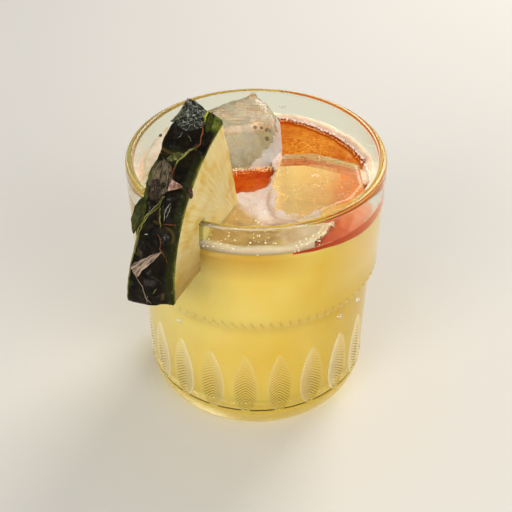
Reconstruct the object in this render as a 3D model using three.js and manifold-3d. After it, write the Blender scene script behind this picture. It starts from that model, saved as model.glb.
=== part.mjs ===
// An iced cocktail in a fluted tumbler: the glass, the drink, its foam, three pieces of ice,
// a slice of orange and a wedge of pineapple hung on the rim.
// Millimetres, +Z up. The origin is the middle of the glass's flat underside.
// The side that the photograph shows faces -Y, with +X to the right.

import * as THREE from 'three';
import { mergeVertices } from 'three/addons/utils/BufferGeometryUtils.js';
import { ConvexGeometry } from 'three/addons/geometries/ConvexGeometry.js';
import Module from 'manifold-3d';

const wasm = await Module();
wasm.setup();

// Driving dimensions of the tumbler
const GLASS_HEIGHT = 91;
const RIM_RADIUS = 43;
const BAND_BOTTOM = 51;
const BAND_BOTTOM_RADIUS = 42.1;
const BODY_TOP_RADIUS = 39.9;
const BODY_FOOT_RADIUS = 39;
const FOOT_RADIUS = 33.6;
const FOOT_HEIGHT = 9.3;
const FLOOR_THICKNESS = 9;
const CAVITY_TOP_RADIUS = 40.1;
const CAVITY_STEP_RADIUS = 39.4;
const CAVITY_LOW_RADIUS = 36.3;
const CAVITY_CORNER = 7;
const CAVITY_NARROW_TOP = 44;
const CAVITY_WIDE_BOTTOM = 54;
const MOUTH_BOTTOM = 89.3;
const CONTENT_SIDES = 63;

// Leaf-shaped flutes round the lower body, and the notches under the band
const FLUTE_COUNT = 21;
const FLUTE_FIRST = THREE.MathUtils.degToRad(-5.4);
const FLUTE_BOTTOM = 9.3;
const FLUTE_TOP = 36;
const FLUTE_WIDTH = 8.5;
const FLUTE_DEPTH = 0.9;
const COLUMNS_PER_FLUTE = 8;
const NOTCH_DEPTH = 0.45;
const NOTCH_BOTTOM = 47.4;

// Levels of the contents
const CLEARANCE = 0.3;
const DRINK_TOP = 80;
const FOAM_TOP = 82.3;
const FOAM_RIPPLE = 0.25;
const FOAM_MENISCUS = 0.5;
const FOAM_RINGS = 6;

// Plans of the places where the foam is open: between the ice blocks, and behind the right one
const FOAM_OPENINGS = [
  [[-8.5, 4], [-8, -3], [-6.3, -7.6], [-2.7, -6.8], [1.2, -3.6], [4.3, 1], [7.5, 5], [4, 9]],
  [
    [11, 15.5], [12.5, 8], [35.2, 4], [36.4, 9.5], [31.8, 18.6],
    [26, 26.4], [19.9, 31.9], [13.2, 35.4], [9.4, 34],
  ],
];

// Half slice of orange, lying level just under the foam
const ORANGE_RADIUS = 39.3;
const ORANGE_EDGE = 0.8;
const ORANGE_SIDES = 72;
const ORANGE_THICKNESS = 4.2;
const ORANGE_TOP = 80.1;
const ORANGE_CUT_DISTANCE = -11.9;
const ORANGE_CUT_ANGLE = THREE.MathUtils.degToRad(33.1);
const ORANGE_BACK_END = 7;
const ORANGE_BACK_START = 6;
const REACH = 60;

// Quarter slice of pineapple: its own plane stands upright and nearly radial on the rim
const WEDGE_RIM_POINT = new THREE.Vector3(-16.95, -39.29, GLASS_HEIGHT);
const WEDGE_INWARD = new THREE.Vector3(0.4462, 0.8949, 0).normalize();
const WEDGE_TIP = new THREE.Vector2(27.1, -16.3);
const WEDGE_RADIUS = 44.6;
const WEDGE_START = THREE.MathUtils.degToRad(105);
const WEDGE_END = THREE.MathUtils.degToRad(183.5);
const WEDGE_THICKNESS = 13;
const WEDGE_LOW_FLARE = 0.16;
const WEDGE_LOW_SHEAR = 0.24;
const WEDGE_LOW_DEPTH = 17;
const WEDGE_PEAK = 3.8;
const WEDGE_PEAK_PLACE = 10.8;
const WEDGE_PEAK_ANGLE = 0.22;
const WEDGE_ARC_STEPS = 26;
const WEDGE_LAYERS = 6;
const WALL_GAP = 0.35;
const SLOT_BOTTOM = 60;
const SCALE_LENGTH = 16;
const SCALE_WIDTH = 12.5;
const SCALE_HEIGHT = 2.2;
const SCALE_SINK = 0.6;
const SCALE_START = 4;
const SCALE_RISE = 0.82;
const SCALE_FLAT = 0.35;
const SCALE_CROWN = 0.45;

const TURN = 2 * Math.PI;
const UP = new THREE.Vector3(0, 0, 1);

// Drops all but the positions and merges the shared vertices, so that the mesh is closed
function welded(geometry) {
  const bare = geometry.clone();
  bare.deleteAttribute('normal');
  bare.deleteAttribute('uv');
  return mergeVertices(bare, 1e-4);
}

// Turns a closed three.js geometry into a solid that can be joined and cut
function toSolid(geometry) {
  const closed = welded(geometry);
  const vertProperties = new Float32Array(closed.attributes.position.array);
  const triVerts = new Uint32Array(closed.index.array);
  return new wasm.Manifold(new wasm.Mesh({ numProp: 3, vertProperties, triVerts }));
}

// Turns a solid back into a three.js geometry
function toGeometry(solid) {
  const mesh = solid.getMesh();
  const geometry = new THREE.BufferGeometry();
  geometry.setAttribute('position', new THREE.BufferAttribute(mesh.vertProperties, 3));
  geometry.setIndex(new THREE.BufferAttribute(mesh.triVerts, 1));
  geometry.computeVertexNormals();
  return geometry;
}

// A body of revolution about Z from [radius, height] points, listed from the bottom up
function turned(points, segments) {
  const profile = points.map(([radius, height]) => new THREE.Vector2(radius, height));
  return welded(new THREE.LatheGeometry(profile, segments)).rotateX(Math.PI / 2);
}

// Moves each vertex of a body of revolution along its radius by offset(azimuth, height)
function reliefed(geometry, offset) {
  const position = geometry.attributes.position;
  const vertex = new THREE.Vector3();
  for (let i = 0; i < position.count; i += 1) {
    vertex.fromBufferAttribute(position, i);
    const radius = Math.hypot(vertex.x, vertex.y);
    if (radius > 0) {
      const azimuth = Math.atan2(vertex.x, -vertex.y);
      const grown = (radius + offset(azimuth, vertex.z)) / radius;
      position.setXYZ(i, vertex.x * grown, vertex.y * grown, vertex.z);
    }
  }
  return geometry;
}

// Depth of the flutes at a place on the lower body: a lens-shaped hollow with pointed ends
function fluteOffset(azimuth, height) {
  const pitch = TURN / FLUTE_COUNT;
  const turns = (azimuth - FLUTE_FIRST) / pitch;
  const sideways = (turns - Math.round(turns)) * pitch * BODY_FOOT_RADIUS;
  const middle = (FLUTE_BOTTOM + FLUTE_TOP) / 2;
  const along = (height - middle) / ((FLUTE_TOP - FLUTE_BOTTOM) / 2);
  const halfWidth = (FLUTE_WIDTH / 2) * (1 - along * along);
  if (halfWidth <= 0 || Math.abs(sideways) >= halfWidth) {
    return 0;
  }
  return -FLUTE_DEPTH * (1 - (sideways / halfWidth) ** 2);
}

// Depth of the notches under the band: every second column is pressed in
function notchOffset(azimuth, height) {
  if (height < NOTCH_BOTTOM + 0.5 || height > BAND_BOTTOM - 0.1) {
    return 0;
  }
  const columns = FLUTE_COUNT * COLUMNS_PER_FLUTE;
  const column = Math.round(azimuth / (TURN / columns));
  return column % 2 === 0 ? 0 : -NOTCH_DEPTH;
}

// Radius of the lower body's outer wall, which leans out slightly
function bodyRadius(height) {
  const share = (height - FOOT_HEIGHT) / (BAND_BOTTOM - FOOT_HEIGHT);
  return THREE.MathUtils.lerp(BODY_FOOT_RADIUS, BODY_TOP_RADIUS, share);
}

// The hollow of the tumbler, drawn in by the clearance and closed at the top height
function cavity(clearance, topHeight, segments, flare) {
  const floor = FLOOR_THICKNESS + clearance;
  const low = CAVITY_LOW_RADIUS - clearance;
  const cornerSteps = 4;
  const points = [[0, floor]];
  for (let step = 0; step <= cornerSteps; step += 1) {
    const angle = (step / cornerSteps) * (Math.PI / 2);
    points.push([
      low - CAVITY_CORNER * (1 - Math.sin(angle)),
      floor + CAVITY_CORNER * (1 - Math.cos(angle)),
    ]);
  }
  points.push([low + 0.5, CAVITY_NARROW_TOP]);
  points.push([CAVITY_STEP_RADIUS - clearance - 0.5, BAND_BOTTOM]);
  points.push([CAVITY_STEP_RADIUS - clearance, CAVITY_WIDE_BOTTOM]);
  if (flare) {
    points.push([CAVITY_TOP_RADIUS, MOUTH_BOTTOM]);
    points.push([CAVITY_TOP_RADIUS + 0.5, MOUTH_BOTTOM + 1.1]);
    points.push([CAVITY_TOP_RADIUS + 1.6, topHeight]);
  } else {
    const share = (topHeight - CAVITY_WIDE_BOTTOM) / (MOUTH_BOTTOM - CAVITY_WIDE_BOTTOM);
    const radius = THREE.MathUtils.lerp(CAVITY_STEP_RADIUS, CAVITY_TOP_RADIUS, share);
    points.push([radius - clearance, topHeight]);
  }
  points.push([0, topHeight]);
  return toSolid(turned(points, segments));
}

// The tumbler: a fluted lower body, a plain upper band, and the hollow
function tumbler() {
  const columns = FLUTE_COUNT * COLUMNS_PER_FLUTE;
  const lower = [
    [0, 0], [FOOT_RADIUS, 0], [FOOT_RADIUS + 2.3, 0.7], [BODY_FOOT_RADIUS - 1.4, 2.9],
    [BODY_FOOT_RADIUS - 0.4, 6], [BODY_FOOT_RADIUS, FOOT_HEIGHT],
  ];
  const fluteRows = 6;
  for (let row = 1; row <= fluteRows; row += 1) {
    const height = THREE.MathUtils.lerp(FLUTE_BOTTOM, FLUTE_TOP, row / fluteRows);
    lower.push([bodyRadius(height), height]);
  }
  lower.push([bodyRadius(NOTCH_BOTTOM), NOTCH_BOTTOM]);
  lower.push([BODY_TOP_RADIUS + 0.5, BAND_BOTTOM - 2]);
  lower.push([BODY_TOP_RADIUS + 1.3, BAND_BOTTOM - 0.6]);
  lower.push([BODY_TOP_RADIUS + 1.3, BAND_BOTTOM + 1]);
  lower.push([0, BAND_BOTTOM + 1]);
  const fluted = reliefed(turned(lower, columns), (azimuth, height) => (
    fluteOffset(azimuth, height) + notchOffset(azimuth, height)
  ));
  const upper = [
    [0, BAND_BOTTOM], [BAND_BOTTOM_RADIUS - 0.6, BAND_BOTTOM], [BAND_BOTTOM_RADIUS, BAND_BOTTOM + 0.9],
    [BAND_BOTTOM_RADIUS + 0.4, 70], [RIM_RADIUS, 86], [RIM_RADIUS, 89.4], [RIM_RADIUS - 0.5, 90.5],
    [RIM_RADIUS - 1.3, GLASS_HEIGHT], [0, GLASS_HEIGHT],
  ];
  const band = toSolid(turned(upper, columns / 2));
  return toSolid(fluted).add(band).subtract(cavity(0, GLASS_HEIGHT + 1, columns / 2, true));
}

// A block of ice with softened corners: the hull of small balls set at its corners
function iceBlock(corners, roundness) {
  const points = [];
  const ball = new THREE.IcosahedronGeometry(roundness, 0).attributes.position;
  for (const [x, y, z] of corners) {
    for (let i = 0; i < ball.count; i += 1) {
      points.push(new THREE.Vector3(x + ball.getX(i), y + ball.getY(i), z + ball.getZ(i)));
    }
  }
  return toSolid(new ConvexGeometry(points));
}

// Corners of the tall block at the back, which breaks off in a peak
const BACK_ICE = {
  roundness: 0.8,
  corners: [
    [-13, 5, 60], [3.5, 7.5, 58], [6.5, 27.5, 58], [-14, 27, 60],
    [-15.5, 4, 82], [-7.5, 4.6, 82], [4.4, 7.4, 82], [8.2, 15.5, 82], [7.6, 29.5, 84], [-17.5, 27, 84],
    [-14, 10, 93.4], [-1.8, 13.9, 93.2], [3.9, 17.4, 92.8], [3.2, 26.4, 93.4], [-1.2, 29.6, 94.6],
    [-8, 27, 93.8], [-17.5, 21, 93.2],
  ],
};

// Corners of the thin peak on it
const BACK_ICE_PEAK = {
  roundness: 0.5,
  corners: [[-5.6, 28, 91], [2, 27.4, 90], [-1, 24, 91.5], [-0.9, 29, 97.6]],
};

// Corners of the clear block at the right, whose flat top stands just clear of the foam
const RIGHT_ICE = {
  roundness: 1,
  corners: [
    [8.5, -20, 55], [28, -15, 55], [29, 4, 55], [11, 5, 55],
    [9.6, 9.2, 83.2], [19.5, 9.6, 83.4], [33.8, 3.2, 83], [34.2, -9, 82.8], [30, -16.2, 82.8],
    [15.4, -26.6, 82.9], [6.4, -24.4, 82.9], [4.6, -19, 83], [6.6, -2.6, 83.1],
  ],
};

// Corners of the low block at the left, between the wedge and the wall
const LEFT_ICE = {
  roundness: 1.6,
  corners: [
    [-31, -2, 66], [-22.5, 2, 66], [-22.5, 17, 66], [-30, 16, 66],
    [-36, -7.5, 82.5], [-25.5, -4.5, 83], [-22, 6, 84.5], [-22.5, 21, 85],
    [-30, 21, 86.6], [-33.5, 14, 86.4], [-36.6, 4, 84.4],
  ],
};

// The tall block with its peak
function backIce() {
  return iceBlock(BACK_ICE.corners, BACK_ICE.roundness)
    .add(iceBlock(BACK_ICE_PEAK.corners, BACK_ICE_PEAK.roundness));
}

// A slab of a given plan, standing on the heights low to high, for cutting
function slab(outline, low, high) {
  const shape = new THREE.Shape(outline.map(([x, y]) => new THREE.Vector2(x, y)));
  const geometry = new THREE.ExtrudeGeometry(shape, { depth: high - low, bevelEnabled: false });
  return toSolid(geometry.translate(0, 0, low));
}

// A half slice of orange: rounded rind edge, one straight cut, and the ice stands through it
function orangeSlice(iceCutters, clearance) {
  const bottom = ORANGE_TOP - ORANGE_THICKNESS - clearance;
  const top = ORANGE_TOP + clearance;
  const radius = ORANGE_RADIUS + clearance;
  const wheel = toSolid(turned([
    [0, bottom], [radius - ORANGE_EDGE, bottom], [radius, bottom + ORANGE_EDGE],
    [radius, top - ORANGE_EDGE], [radius - ORANGE_EDGE, top], [0, top],
  ], ORANGE_SIDES));
  const cut = new THREE.Vector2(Math.cos(ORANGE_CUT_ANGLE), Math.sin(ORANGE_CUT_ANGLE));
  const along = new THREE.Vector2(-cut.y, cut.x);
  const foot = cut.clone().multiplyScalar(ORANGE_CUT_DISTANCE - clearance);
  const far = foot.clone().addScaledVector(cut, -REACH);
  const corner = (base, side) => [base.x + along.x * side, base.y + along.y * side];
  const beyond = slab([corner(foot, -REACH), corner(foot, REACH), corner(far, REACH), corner(far, -REACH)],
    bottom - 1, top + 1);
  const end = ORANGE_BACK_END - clearance;
  const start = ORANGE_BACK_START;
  const behind = slab([[-REACH, start], [end, start], [end, REACH], [-REACH, REACH]], bottom - 1, top + 1);
  let slice = wheel.subtract(beyond).subtract(behind);
  for (const cutter of iceCutters) {
    slice = slice.subtract(cutter);
  }
  return slice;
}

// Height of the rind's scales above the flesh's round edge, at an arc length and a place across it
function scaleRelief(arc, across) {
  const row = Math.floor(across / SCALE_WIDTH + 0.5);
  const shift = row % 2 === 0 ? 0 : 0.5;
  const alongScale = arc / SCALE_LENGTH + shift;
  const inScale = alongScale - Math.floor(alongScale);
  const sideways = Math.abs(across / SCALE_WIDTH - row) * 2;
  const slope = inScale < SCALE_RISE ? inScale / SCALE_RISE : (1 - inScale) / (1 - SCALE_RISE);
  const crown = 1 - SCALE_CROWN * sideways * sideways;
  return SCALE_HEIGHT * THREE.MathUtils.lerp(SCALE_FLAT, 1, slope) * crown - SCALE_SINK;
}

// Brings the wedge's own coordinates (inward, up, through its thickness) to the glass's
function wedgeFrame() {
  const through = new THREE.Vector3().crossVectors(WEDGE_INWARD, UP).negate();
  return new THREE.Matrix4().makeBasis(WEDGE_INWARD, UP, through).setPosition(WEDGE_RIM_POINT);
}

// Outline of the quarter slice: its tip, and the round rind edge
function wedgeOutline(clearance, arcSteps) {
  const middle = (WEDGE_START + WEDGE_END) / 2;
  const half = (WEDGE_END - WEDGE_START) / 2;
  const back = clearance / Math.sin(half);
  const outward = new THREE.Vector2(-Math.cos(middle), -Math.sin(middle));
  const tip = WEDGE_TIP.clone().addScaledVector(outward, back);
  const points = [tip];
  for (let step = 0; step <= arcSteps; step += 1) {
    const angle = THREE.MathUtils.lerp(WEDGE_START, WEDGE_END, step / arcSteps);
    points.push(new THREE.Vector2(
      tip.x + (WEDGE_RADIUS + clearance) * Math.cos(angle),
      tip.y + (WEDGE_RADIUS + clearance) * Math.sin(angle),
    ));
  }
  return new THREE.Shape(points);
}

// The plain quarter slice, in its own coordinates, with the visible cut face at depth zero
function wedgeBlank(clearance, arcSteps, layers) {
  return welded(new THREE.ExtrudeGeometry(wedgeOutline(clearance, arcSteps), {
    depth: WEDGE_THICKNESS + 2 * clearance,
    steps: layers,
    bevelEnabled: false,
  })).translate(0, 0, -clearance);
}

// A dry bract that stands off the rind: a flat pointed flake rooted in it
function bract(angle, across, length, width, lift) {
  const root = WEDGE_RADIUS - 1.5;
  const radial = new THREE.Vector3(Math.cos(angle), Math.sin(angle), 0);
  const along = new THREE.Vector3(-Math.sin(angle), Math.cos(angle), 0);
  const at = new THREE.Vector3(WEDGE_TIP.x, WEDGE_TIP.y, across).addScaledVector(radial, root);
  const points = [];
  for (const [forward, side, out] of [
    [-2, -0.5, 0], [-2, 0.5, 0], [-2, -0.5, 1.8], [-2, 0.5, 1.8],
    [0.45 * length, -0.42, 0.4 * lift + 1], [0.45 * length, 0.42, 0.4 * lift + 1],
    [0.45 * length, -0.42, 0.4 * lift + 2.4], [0.45 * length, 0.42, 0.4 * lift + 2.4],
    [length, 0, lift + 1.6], [length, 0, lift + 2.5],
  ]) {
    points.push(at.clone().addScaledVector(along, forward).addScaledVector(radial, out)
      .add(new THREE.Vector3(0, 0, side * width)));
  }
  return toSolid(new ConvexGeometry(points));
}

// How far the torn peak at the slice's upper end has risen at a place across it, from 0 to 1
function peakShare(across) {
  const before = across / WEDGE_PEAK_PLACE;
  const after = (WEDGE_THICKNESS - across) / (WEDGE_THICKNESS - WEDGE_PEAK_PLACE);
  return THREE.MathUtils.clamp(Math.min(before, after), 0, 1);
}

// Gives a plain quarter slice its scales, its peak, and its slanted, thicker lower end
function shapedWedge(blank, scaled) {
  const position = blank.attributes.position;
  for (let i = 0; i < position.count; i += 1) {
    const dx = position.getX(i) - WEDGE_TIP.x;
    const dy = position.getY(i) - WEDGE_TIP.y;
    const radius = Math.hypot(dx, dy);
    const across = position.getZ(i);
    const angle = (Math.atan2(dy, dx) + TURN) % TURN;
    const onRind = radius > WEDGE_RADIUS - 0.1;
    const arc = angle * WEDGE_RADIUS + SCALE_START;
    const grown = onRind && scaled ? (radius + scaleRelief(arc, across)) / radius : 1;
    const x = WEDGE_TIP.x + dx * grown;
    const y = WEDGE_TIP.y + dy * grown;
    const outside = THREE.MathUtils.clamp((4 - x) / 16, 0, 1);
    const low = outside * THREE.MathUtils.clamp(-y / WEDGE_LOW_DEPTH, 0, 1);
    const nearStart = THREE.MathUtils.clamp(1 - (angle - WEDGE_START) / WEDGE_PEAK_ANGLE, 0, 1);
    const peak = onRind ? WEDGE_PEAK * nearStart * peakShare(across) : 0;
    const sunk = WEDGE_LOW_SHEAR * across * low;
    position.setXYZ(i, x, y + peak - sunk, across * (1 + WEDGE_LOW_FLARE * low));
  }
  return toSolid(blank);
}

// The pineapple wedge: scaly rind, bracts, and the slot that the glass's wall stands in
function pineappleWedge() {
  const degrees = THREE.MathUtils.degToRad;
  let wedge = shapedWedge(wedgeBlank(0, WEDGE_ARC_STEPS, WEDGE_LAYERS), true)
    .add(bract(degrees(134), 8.5, 9, 7, 1.4))
    .add(bract(degrees(149), 11, 9, 6, 3))
    .add(bract(degrees(160), 7.5, 10, 9, 1.6))
    .add(bract(degrees(119), 5, 8, 6, 1.2));
  wedge = wedge.transform(wedgeFrame().toArray());
  const inner = CAVITY_STEP_RADIUS - WALL_GAP;
  const outer = RIM_RADIUS + WALL_GAP;
  const top = GLASS_HEIGHT + WALL_GAP;
  const slot = turned([
    [inner, SLOT_BOTTOM], [outer, SLOT_BOTTOM], [outer, top], [inner, top], [inner, SLOT_BOTTOM],
  ], 2 * CONTENT_SIDES);
  return wedge.subtract(toSolid(slot));
}

// Solids that the drink and the foam are cut round, each larger than its piece by the clearance
function cutters() {
  const ice = [BACK_ICE, RIGHT_ICE, LEFT_ICE].map((block) => (
    iceBlock(block.corners, block.roundness + CLEARANCE)
  ));
  const wedge = shapedWedge(wedgeBlank(CLEARANCE, WEDGE_ARC_STEPS, 1), false)
    .transform(wedgeFrame().toArray());
  return { ice, wedge };
}

// A slow uneven wave over the foam, a few centimetres long each way, between -2 and 2
function ripple(x, y) {
  return Math.sin(x * 0.41 + 1) * Math.cos(y * 0.33) + Math.sin(y * 0.23 + x * 0.13);
}

// The foam: a thin layer with a rippled top, open over the orange between and behind the ice
function foamLayer(cut) {
  const outer = CAVITY_TOP_RADIUS - CLEARANCE - 0.25;
  const low = DRINK_TOP + CLEARANCE + 0.1;
  const points = [[0, low], [outer, low]];
  for (let ring = FOAM_RINGS; ring >= 0; ring -= 1) {
    points.push([(outer * ring) / FOAM_RINGS, FOAM_TOP]);
  }
  const layer = turned(points, CONTENT_SIDES);
  const position = layer.attributes.position;
  for (let i = 0; i < position.count; i += 1) {
    const x = position.getX(i);
    const y = position.getY(i);
    if (position.getZ(i) > low + 1) {
      const meniscus = FOAM_MENISCUS * (Math.hypot(x, y) / outer) ** 12;
      position.setZ(i, FOAM_TOP + meniscus + FOAM_RIPPLE * ripple(x, y));
    }
  }
  const openings = FOAM_OPENINGS.map((outline) => slab(outline, low - 1, FOAM_TOP + 3));
  let foam = toSolid(layer);
  for (const cutter of [...openings, cut.wedge, ...cut.ice]) {
    foam = foam.subtract(cutter);
  }
  return largest(foam);
}

// Of a solid in several loose pieces, the one with the most volume
function largest(solid) {
  const pieces = solid.decompose();
  return pieces.reduce((best, piece) => (piece.volume() > best.volume() ? piece : best));
}

// The drink: what the hollow holds up to its level, cut round everything that stands in it
function drinkBody(cut) {
  let drink = cavity(CLEARANCE, DRINK_TOP, CONTENT_SIDES, false);
  for (const cutter of [orangeSlice([], CLEARANCE), cut.wedge, ...cut.ice]) {
    drink = drink.subtract(cutter);
  }
  return largest(drink);
}

// A named mesh with its own finish
function piece(name, solid, colour, roughness) {
  const material = new THREE.MeshStandardMaterial({ color: colour, roughness, metalness: 0 });
  const mesh = new THREE.Mesh(toGeometry(solid), material);
  mesh.name = name;
  return mesh;
}

const cut = cutters();
const cocktail = new THREE.Group();
cocktail.add(piece('glass', tumbler(), 0xe6ead2, 0.05));
cocktail.add(piece('drink', drinkBody(cut), 0xe3c65c, 0.2));
cocktail.add(piece('foam', foamLayer(cut), 0xf3e6d8, 0.6));
cocktail.add(piece('ice_back', backIce(), 0xd9dccb, 0.1));
cocktail.add(piece('ice_right', iceBlock(RIGHT_ICE.corners, RIGHT_ICE.roundness), 0xe6dca4, 0.1));
cocktail.add(piece('ice_left', iceBlock(LEFT_ICE.corners, LEFT_ICE.roundness), 0xe8e2d2, 0.2));
cocktail.add(piece('orange_slice', largest(orangeSlice(cut.ice, 0)), 0xe0661e, 0.35));
cocktail.add(piece('pineapple_wedge', pineappleWedge(), 0x24331c, 0.45));

export default cocktail;
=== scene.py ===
"""An iced cocktail in a fluted tumbler, with foam, ice, a slice of orange and a wedge of pineapple.

Sizes in the classes and places in the finishes are in millimetres. Meshes and the inputs of geometry trees
are in metres, +Z up, and the origin is the middle of the tumbler's flat underside. The side that the
photograph shows faces -Y, with +X to the right.
"""
import logging
import math
from collections.abc import Callable, Sequence
from dataclasses import dataclass
from enum import Enum

import bmesh
import bpy
from mathutils import Matrix, Vector, noise


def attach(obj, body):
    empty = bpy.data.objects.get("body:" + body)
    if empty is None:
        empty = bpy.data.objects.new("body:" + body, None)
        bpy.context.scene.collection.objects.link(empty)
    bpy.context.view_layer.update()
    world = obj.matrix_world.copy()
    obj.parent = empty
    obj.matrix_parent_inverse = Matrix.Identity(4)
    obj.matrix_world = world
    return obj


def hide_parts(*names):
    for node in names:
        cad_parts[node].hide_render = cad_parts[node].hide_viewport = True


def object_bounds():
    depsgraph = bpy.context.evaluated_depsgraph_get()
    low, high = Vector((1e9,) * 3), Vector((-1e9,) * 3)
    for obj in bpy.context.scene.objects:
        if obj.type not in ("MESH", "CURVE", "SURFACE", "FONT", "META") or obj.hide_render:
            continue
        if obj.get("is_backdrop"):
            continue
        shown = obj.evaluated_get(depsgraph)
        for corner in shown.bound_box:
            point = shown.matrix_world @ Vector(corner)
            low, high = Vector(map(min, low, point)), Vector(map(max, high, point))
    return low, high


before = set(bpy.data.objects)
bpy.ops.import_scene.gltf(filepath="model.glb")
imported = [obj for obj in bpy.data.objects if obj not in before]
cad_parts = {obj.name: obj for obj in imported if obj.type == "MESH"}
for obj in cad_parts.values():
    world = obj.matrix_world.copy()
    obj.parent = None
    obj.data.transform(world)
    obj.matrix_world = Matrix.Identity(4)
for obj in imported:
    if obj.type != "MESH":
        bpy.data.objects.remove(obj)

LOG = logging.getLogger("cocktail")
MM = 0.001
CAD_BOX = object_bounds()
BODY = "root"
ALL = slice(None)

Point = tuple[float, float]
Place = tuple[float, float, float]
Stops = tuple[tuple[float, str], ...]
Socket = bpy.types.NodeSocket
Piece = bpy.types.Object
Given = bpy.types.NodeOutputs


class Slot(Enum):
    """The record's material slots."""

    GLASS = "glass"
    DRINK = "drink"
    FOAM = "foam"
    ICE = "ice"
    ORANGE = "orange"
    PINEAPPLE = "pineapple"


class Outline(Enum):
    """How a flake's width runs from its root to its tip."""

    LEAF = "leaf"
    TRIANGLE = "triangle"
    PATCH = "patch"


# Colours and node trees

def linear(code: str) -> tuple[float, float, float, float]:
    """Turns an sRGB hex colour into linear values.

    Args:
        code: Six hex digits.

    Returns:
        Linear red, green and blue, and an alpha of 1.
    """
    channels = [int(code[start:start + 2], 16) / 255 for start in (0, 2, 4)]
    red, green, blue = [c / 12.92 if c <= 0.04045 else ((c + 0.055) / 1.055) ** 2.4 for c in channels]
    return red, green, blue, 1.0


class Tree:
    """A node tree under construction."""

    def __init__(self, tree: bpy.types.NodeTree) -> None:
        """Keeps the tree that the nodes go into."""
        self.tree = tree

    def add(self, kind: str, *given: object, out: int | str | slice = 0, **more: object) -> Socket | None:
        """Adds a node with its settings and links.

        Args:
            kind: Blender's name for the node's type, where ShaderNode may be left out, and its operation.
            given: Values or sockets for the first inputs in use. A hex code becomes a linear colour.
            out: Name or number of the output that is wanted, or ALL.
            more: Inputs by name, with _ for a space, and the node's own settings, which have small letters.
                stops is a colour ramp's list of (place, hex colour).

        Returns:
            What out asks for, or None for a node without outputs.
        """
        name, _, operation = kind.partition(" ")
        node = self.tree.nodes.new(name if "Node" in name else f"ShaderNode{name}")
        if operation:
            node.operation = operation
        for key, value in more.items():
            if key == "stops":
                elements = node.color_ramp.elements
                while len(elements) < len(value):
                    elements.new(1.0)
                for element, (position, code) in zip(elements, value):
                    element.position = position
                    element.color = linear(code)
            elif key.islower():
                setattr(node, key, value)
        sockets = [s for s in node.inputs if s.enabled]
        values = list(zip(sockets, given))
        for key, value in more.items():
            if not key.islower():
                values.append((next(s for s in sockets if s.name == key.replace("_", " ")), value))
        for socket, value in values:
            if isinstance(value, Socket):
                self.tree.links.new(value, socket)
            elif isinstance(value, str) and socket.type == "RGBA":
                socket.default_value = linear(value)
            else:
                socket.default_value = value
        shown = [s for s in node.outputs if s.enabled]
        if not shown:
            return None
        return next(s for s in shown if s.name == out) if isinstance(out, str) else shown[out]

    def product(self, *shares: Socket | float | tuple) -> Socket:
        """Multiplies shares.

        Args:
            shares: Numbers. A tuple holds a value, where it starts and ends, and what it becomes there.

        Returns:
            Their product.
        """
        result, *others = [self.add("MapRange", *s) if isinstance(s, tuple) else s for s in shares]
        for other in others:
            result = self.add("Math MULTIPLY", result, other)
        return result

    def layered(self, colour: Socket | str, *layers: tuple) -> Socket:
        """Lays colours over a first one.

        Args:
            colour: The first colour.
            layers: For each layer its colour and the shares whose product it shows by.

        Returns:
            The colour of all of them.
        """
        for over, *shares in layers:
            colour = self.add("Mix", self.product(*shares), colour, over, data_type="RGBA")
        return colour

    def ridges(self, count: Socket, power: float) -> Socket:
        """Waves from 0 to 1 that peak where a count is whole, narrower for a higher power."""
        wave = self.add("Math COSINE", self.add("Math MULTIPLY", count, math.tau))
        return self.add("Math POWER", self.add("Math MULTIPLY_ADD", wave, 0.5, 0.5), power)

    def strewn(self, spread: Socket, turn: float, seed: Socket) -> Socket:
        """A random vector: x and y within the spread either way, z from 0 to the turn.

        Args:
            spread: The largest x and y.
            turn: The largest z.
            seed: The seed.

        Returns:
            The vector.
        """
        back = self.product(spread, -1.0)
        return self.add("FunctionNodeRandomValue", Min=self.add("CombineXYZ", back, back, 0.0),
                        Max=self.add("CombineXYZ", spread, spread, turn), Seed=seed,
                        data_type="FLOAT_VECTOR")

    def here(self) -> Socket:
        """The shaded place, in millimetres."""
        return self.add("VectorMath SCALE", self.add("TexCoord", out="Object"), 1 / MM)

    def parts(self, place: Socket) -> tuple[Socket, ...]:
        """A place's x, y and z, the place below it on the plan, and its distance from the tumbler's axis."""
        plan = self.add("VectorMath MULTIPLY", place, (1.0, 1.0, 0.0))
        return *self.add("SeparateXYZ", place, out=ALL), plan, self.add("VectorMath LENGTH", plan)

    def stored(self, *names: str) -> list[Socket]:
        """Numbers that the piece's vertices carry under these names."""
        return [self.add("Attribute", out="Fac", attribute_name=name) for name in names]


# Meshes

def metres(places: Sequence[Sequence[float]]) -> list[tuple[float, ...]]:
    """Places given in millimetres, in metres."""
    return [tuple(c * MM for c in place) for place in places]


def made_object(name: str, mesh: bpy.types.Mesh) -> Piece:
    """Puts a mesh into the scene.

    Args:
        name: The object's name, which the mesh takes too.
        mesh: The mesh.

    Returns:
        The new object.
    """
    mesh.name = name
    piece = bpy.data.objects.new(name, mesh)
    bpy.context.scene.collection.objects.link(piece)
    return piece


def reworked(mesh: bpy.types.Mesh, change: Callable[[bmesh.types.BMesh], object]) -> None:
    """Changes a mesh.

    Args:
        mesh: The mesh.
        change: What is done to it.
    """
    work = bmesh.new()
    work.from_mesh(mesh)
    change(work)
    work.to_mesh(mesh)
    work.free()


def made_mesh(name: str, points: Sequence[Place], faces: Sequence[Sequence[int]],
              edges: Sequence[tuple[int, int]] = ()) -> Piece:
    """Builds a smooth-shaded object whose faces point out.

    Args:
        name: The piece's name.
        points: Places in millimetres.
        faces: Corner numbers of each face.
        edges: End numbers of each loose edge.

    Returns:
        The new object.
    """
    mesh = bpy.data.meshes.new(name)
    mesh.from_pydata(metres(points), edges, faces)
    reworked(mesh, lambda work: bmesh.ops.recalc_face_normals(work, faces=work.faces))
    mesh.shade_smooth()
    return made_object(name, mesh)


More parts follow.
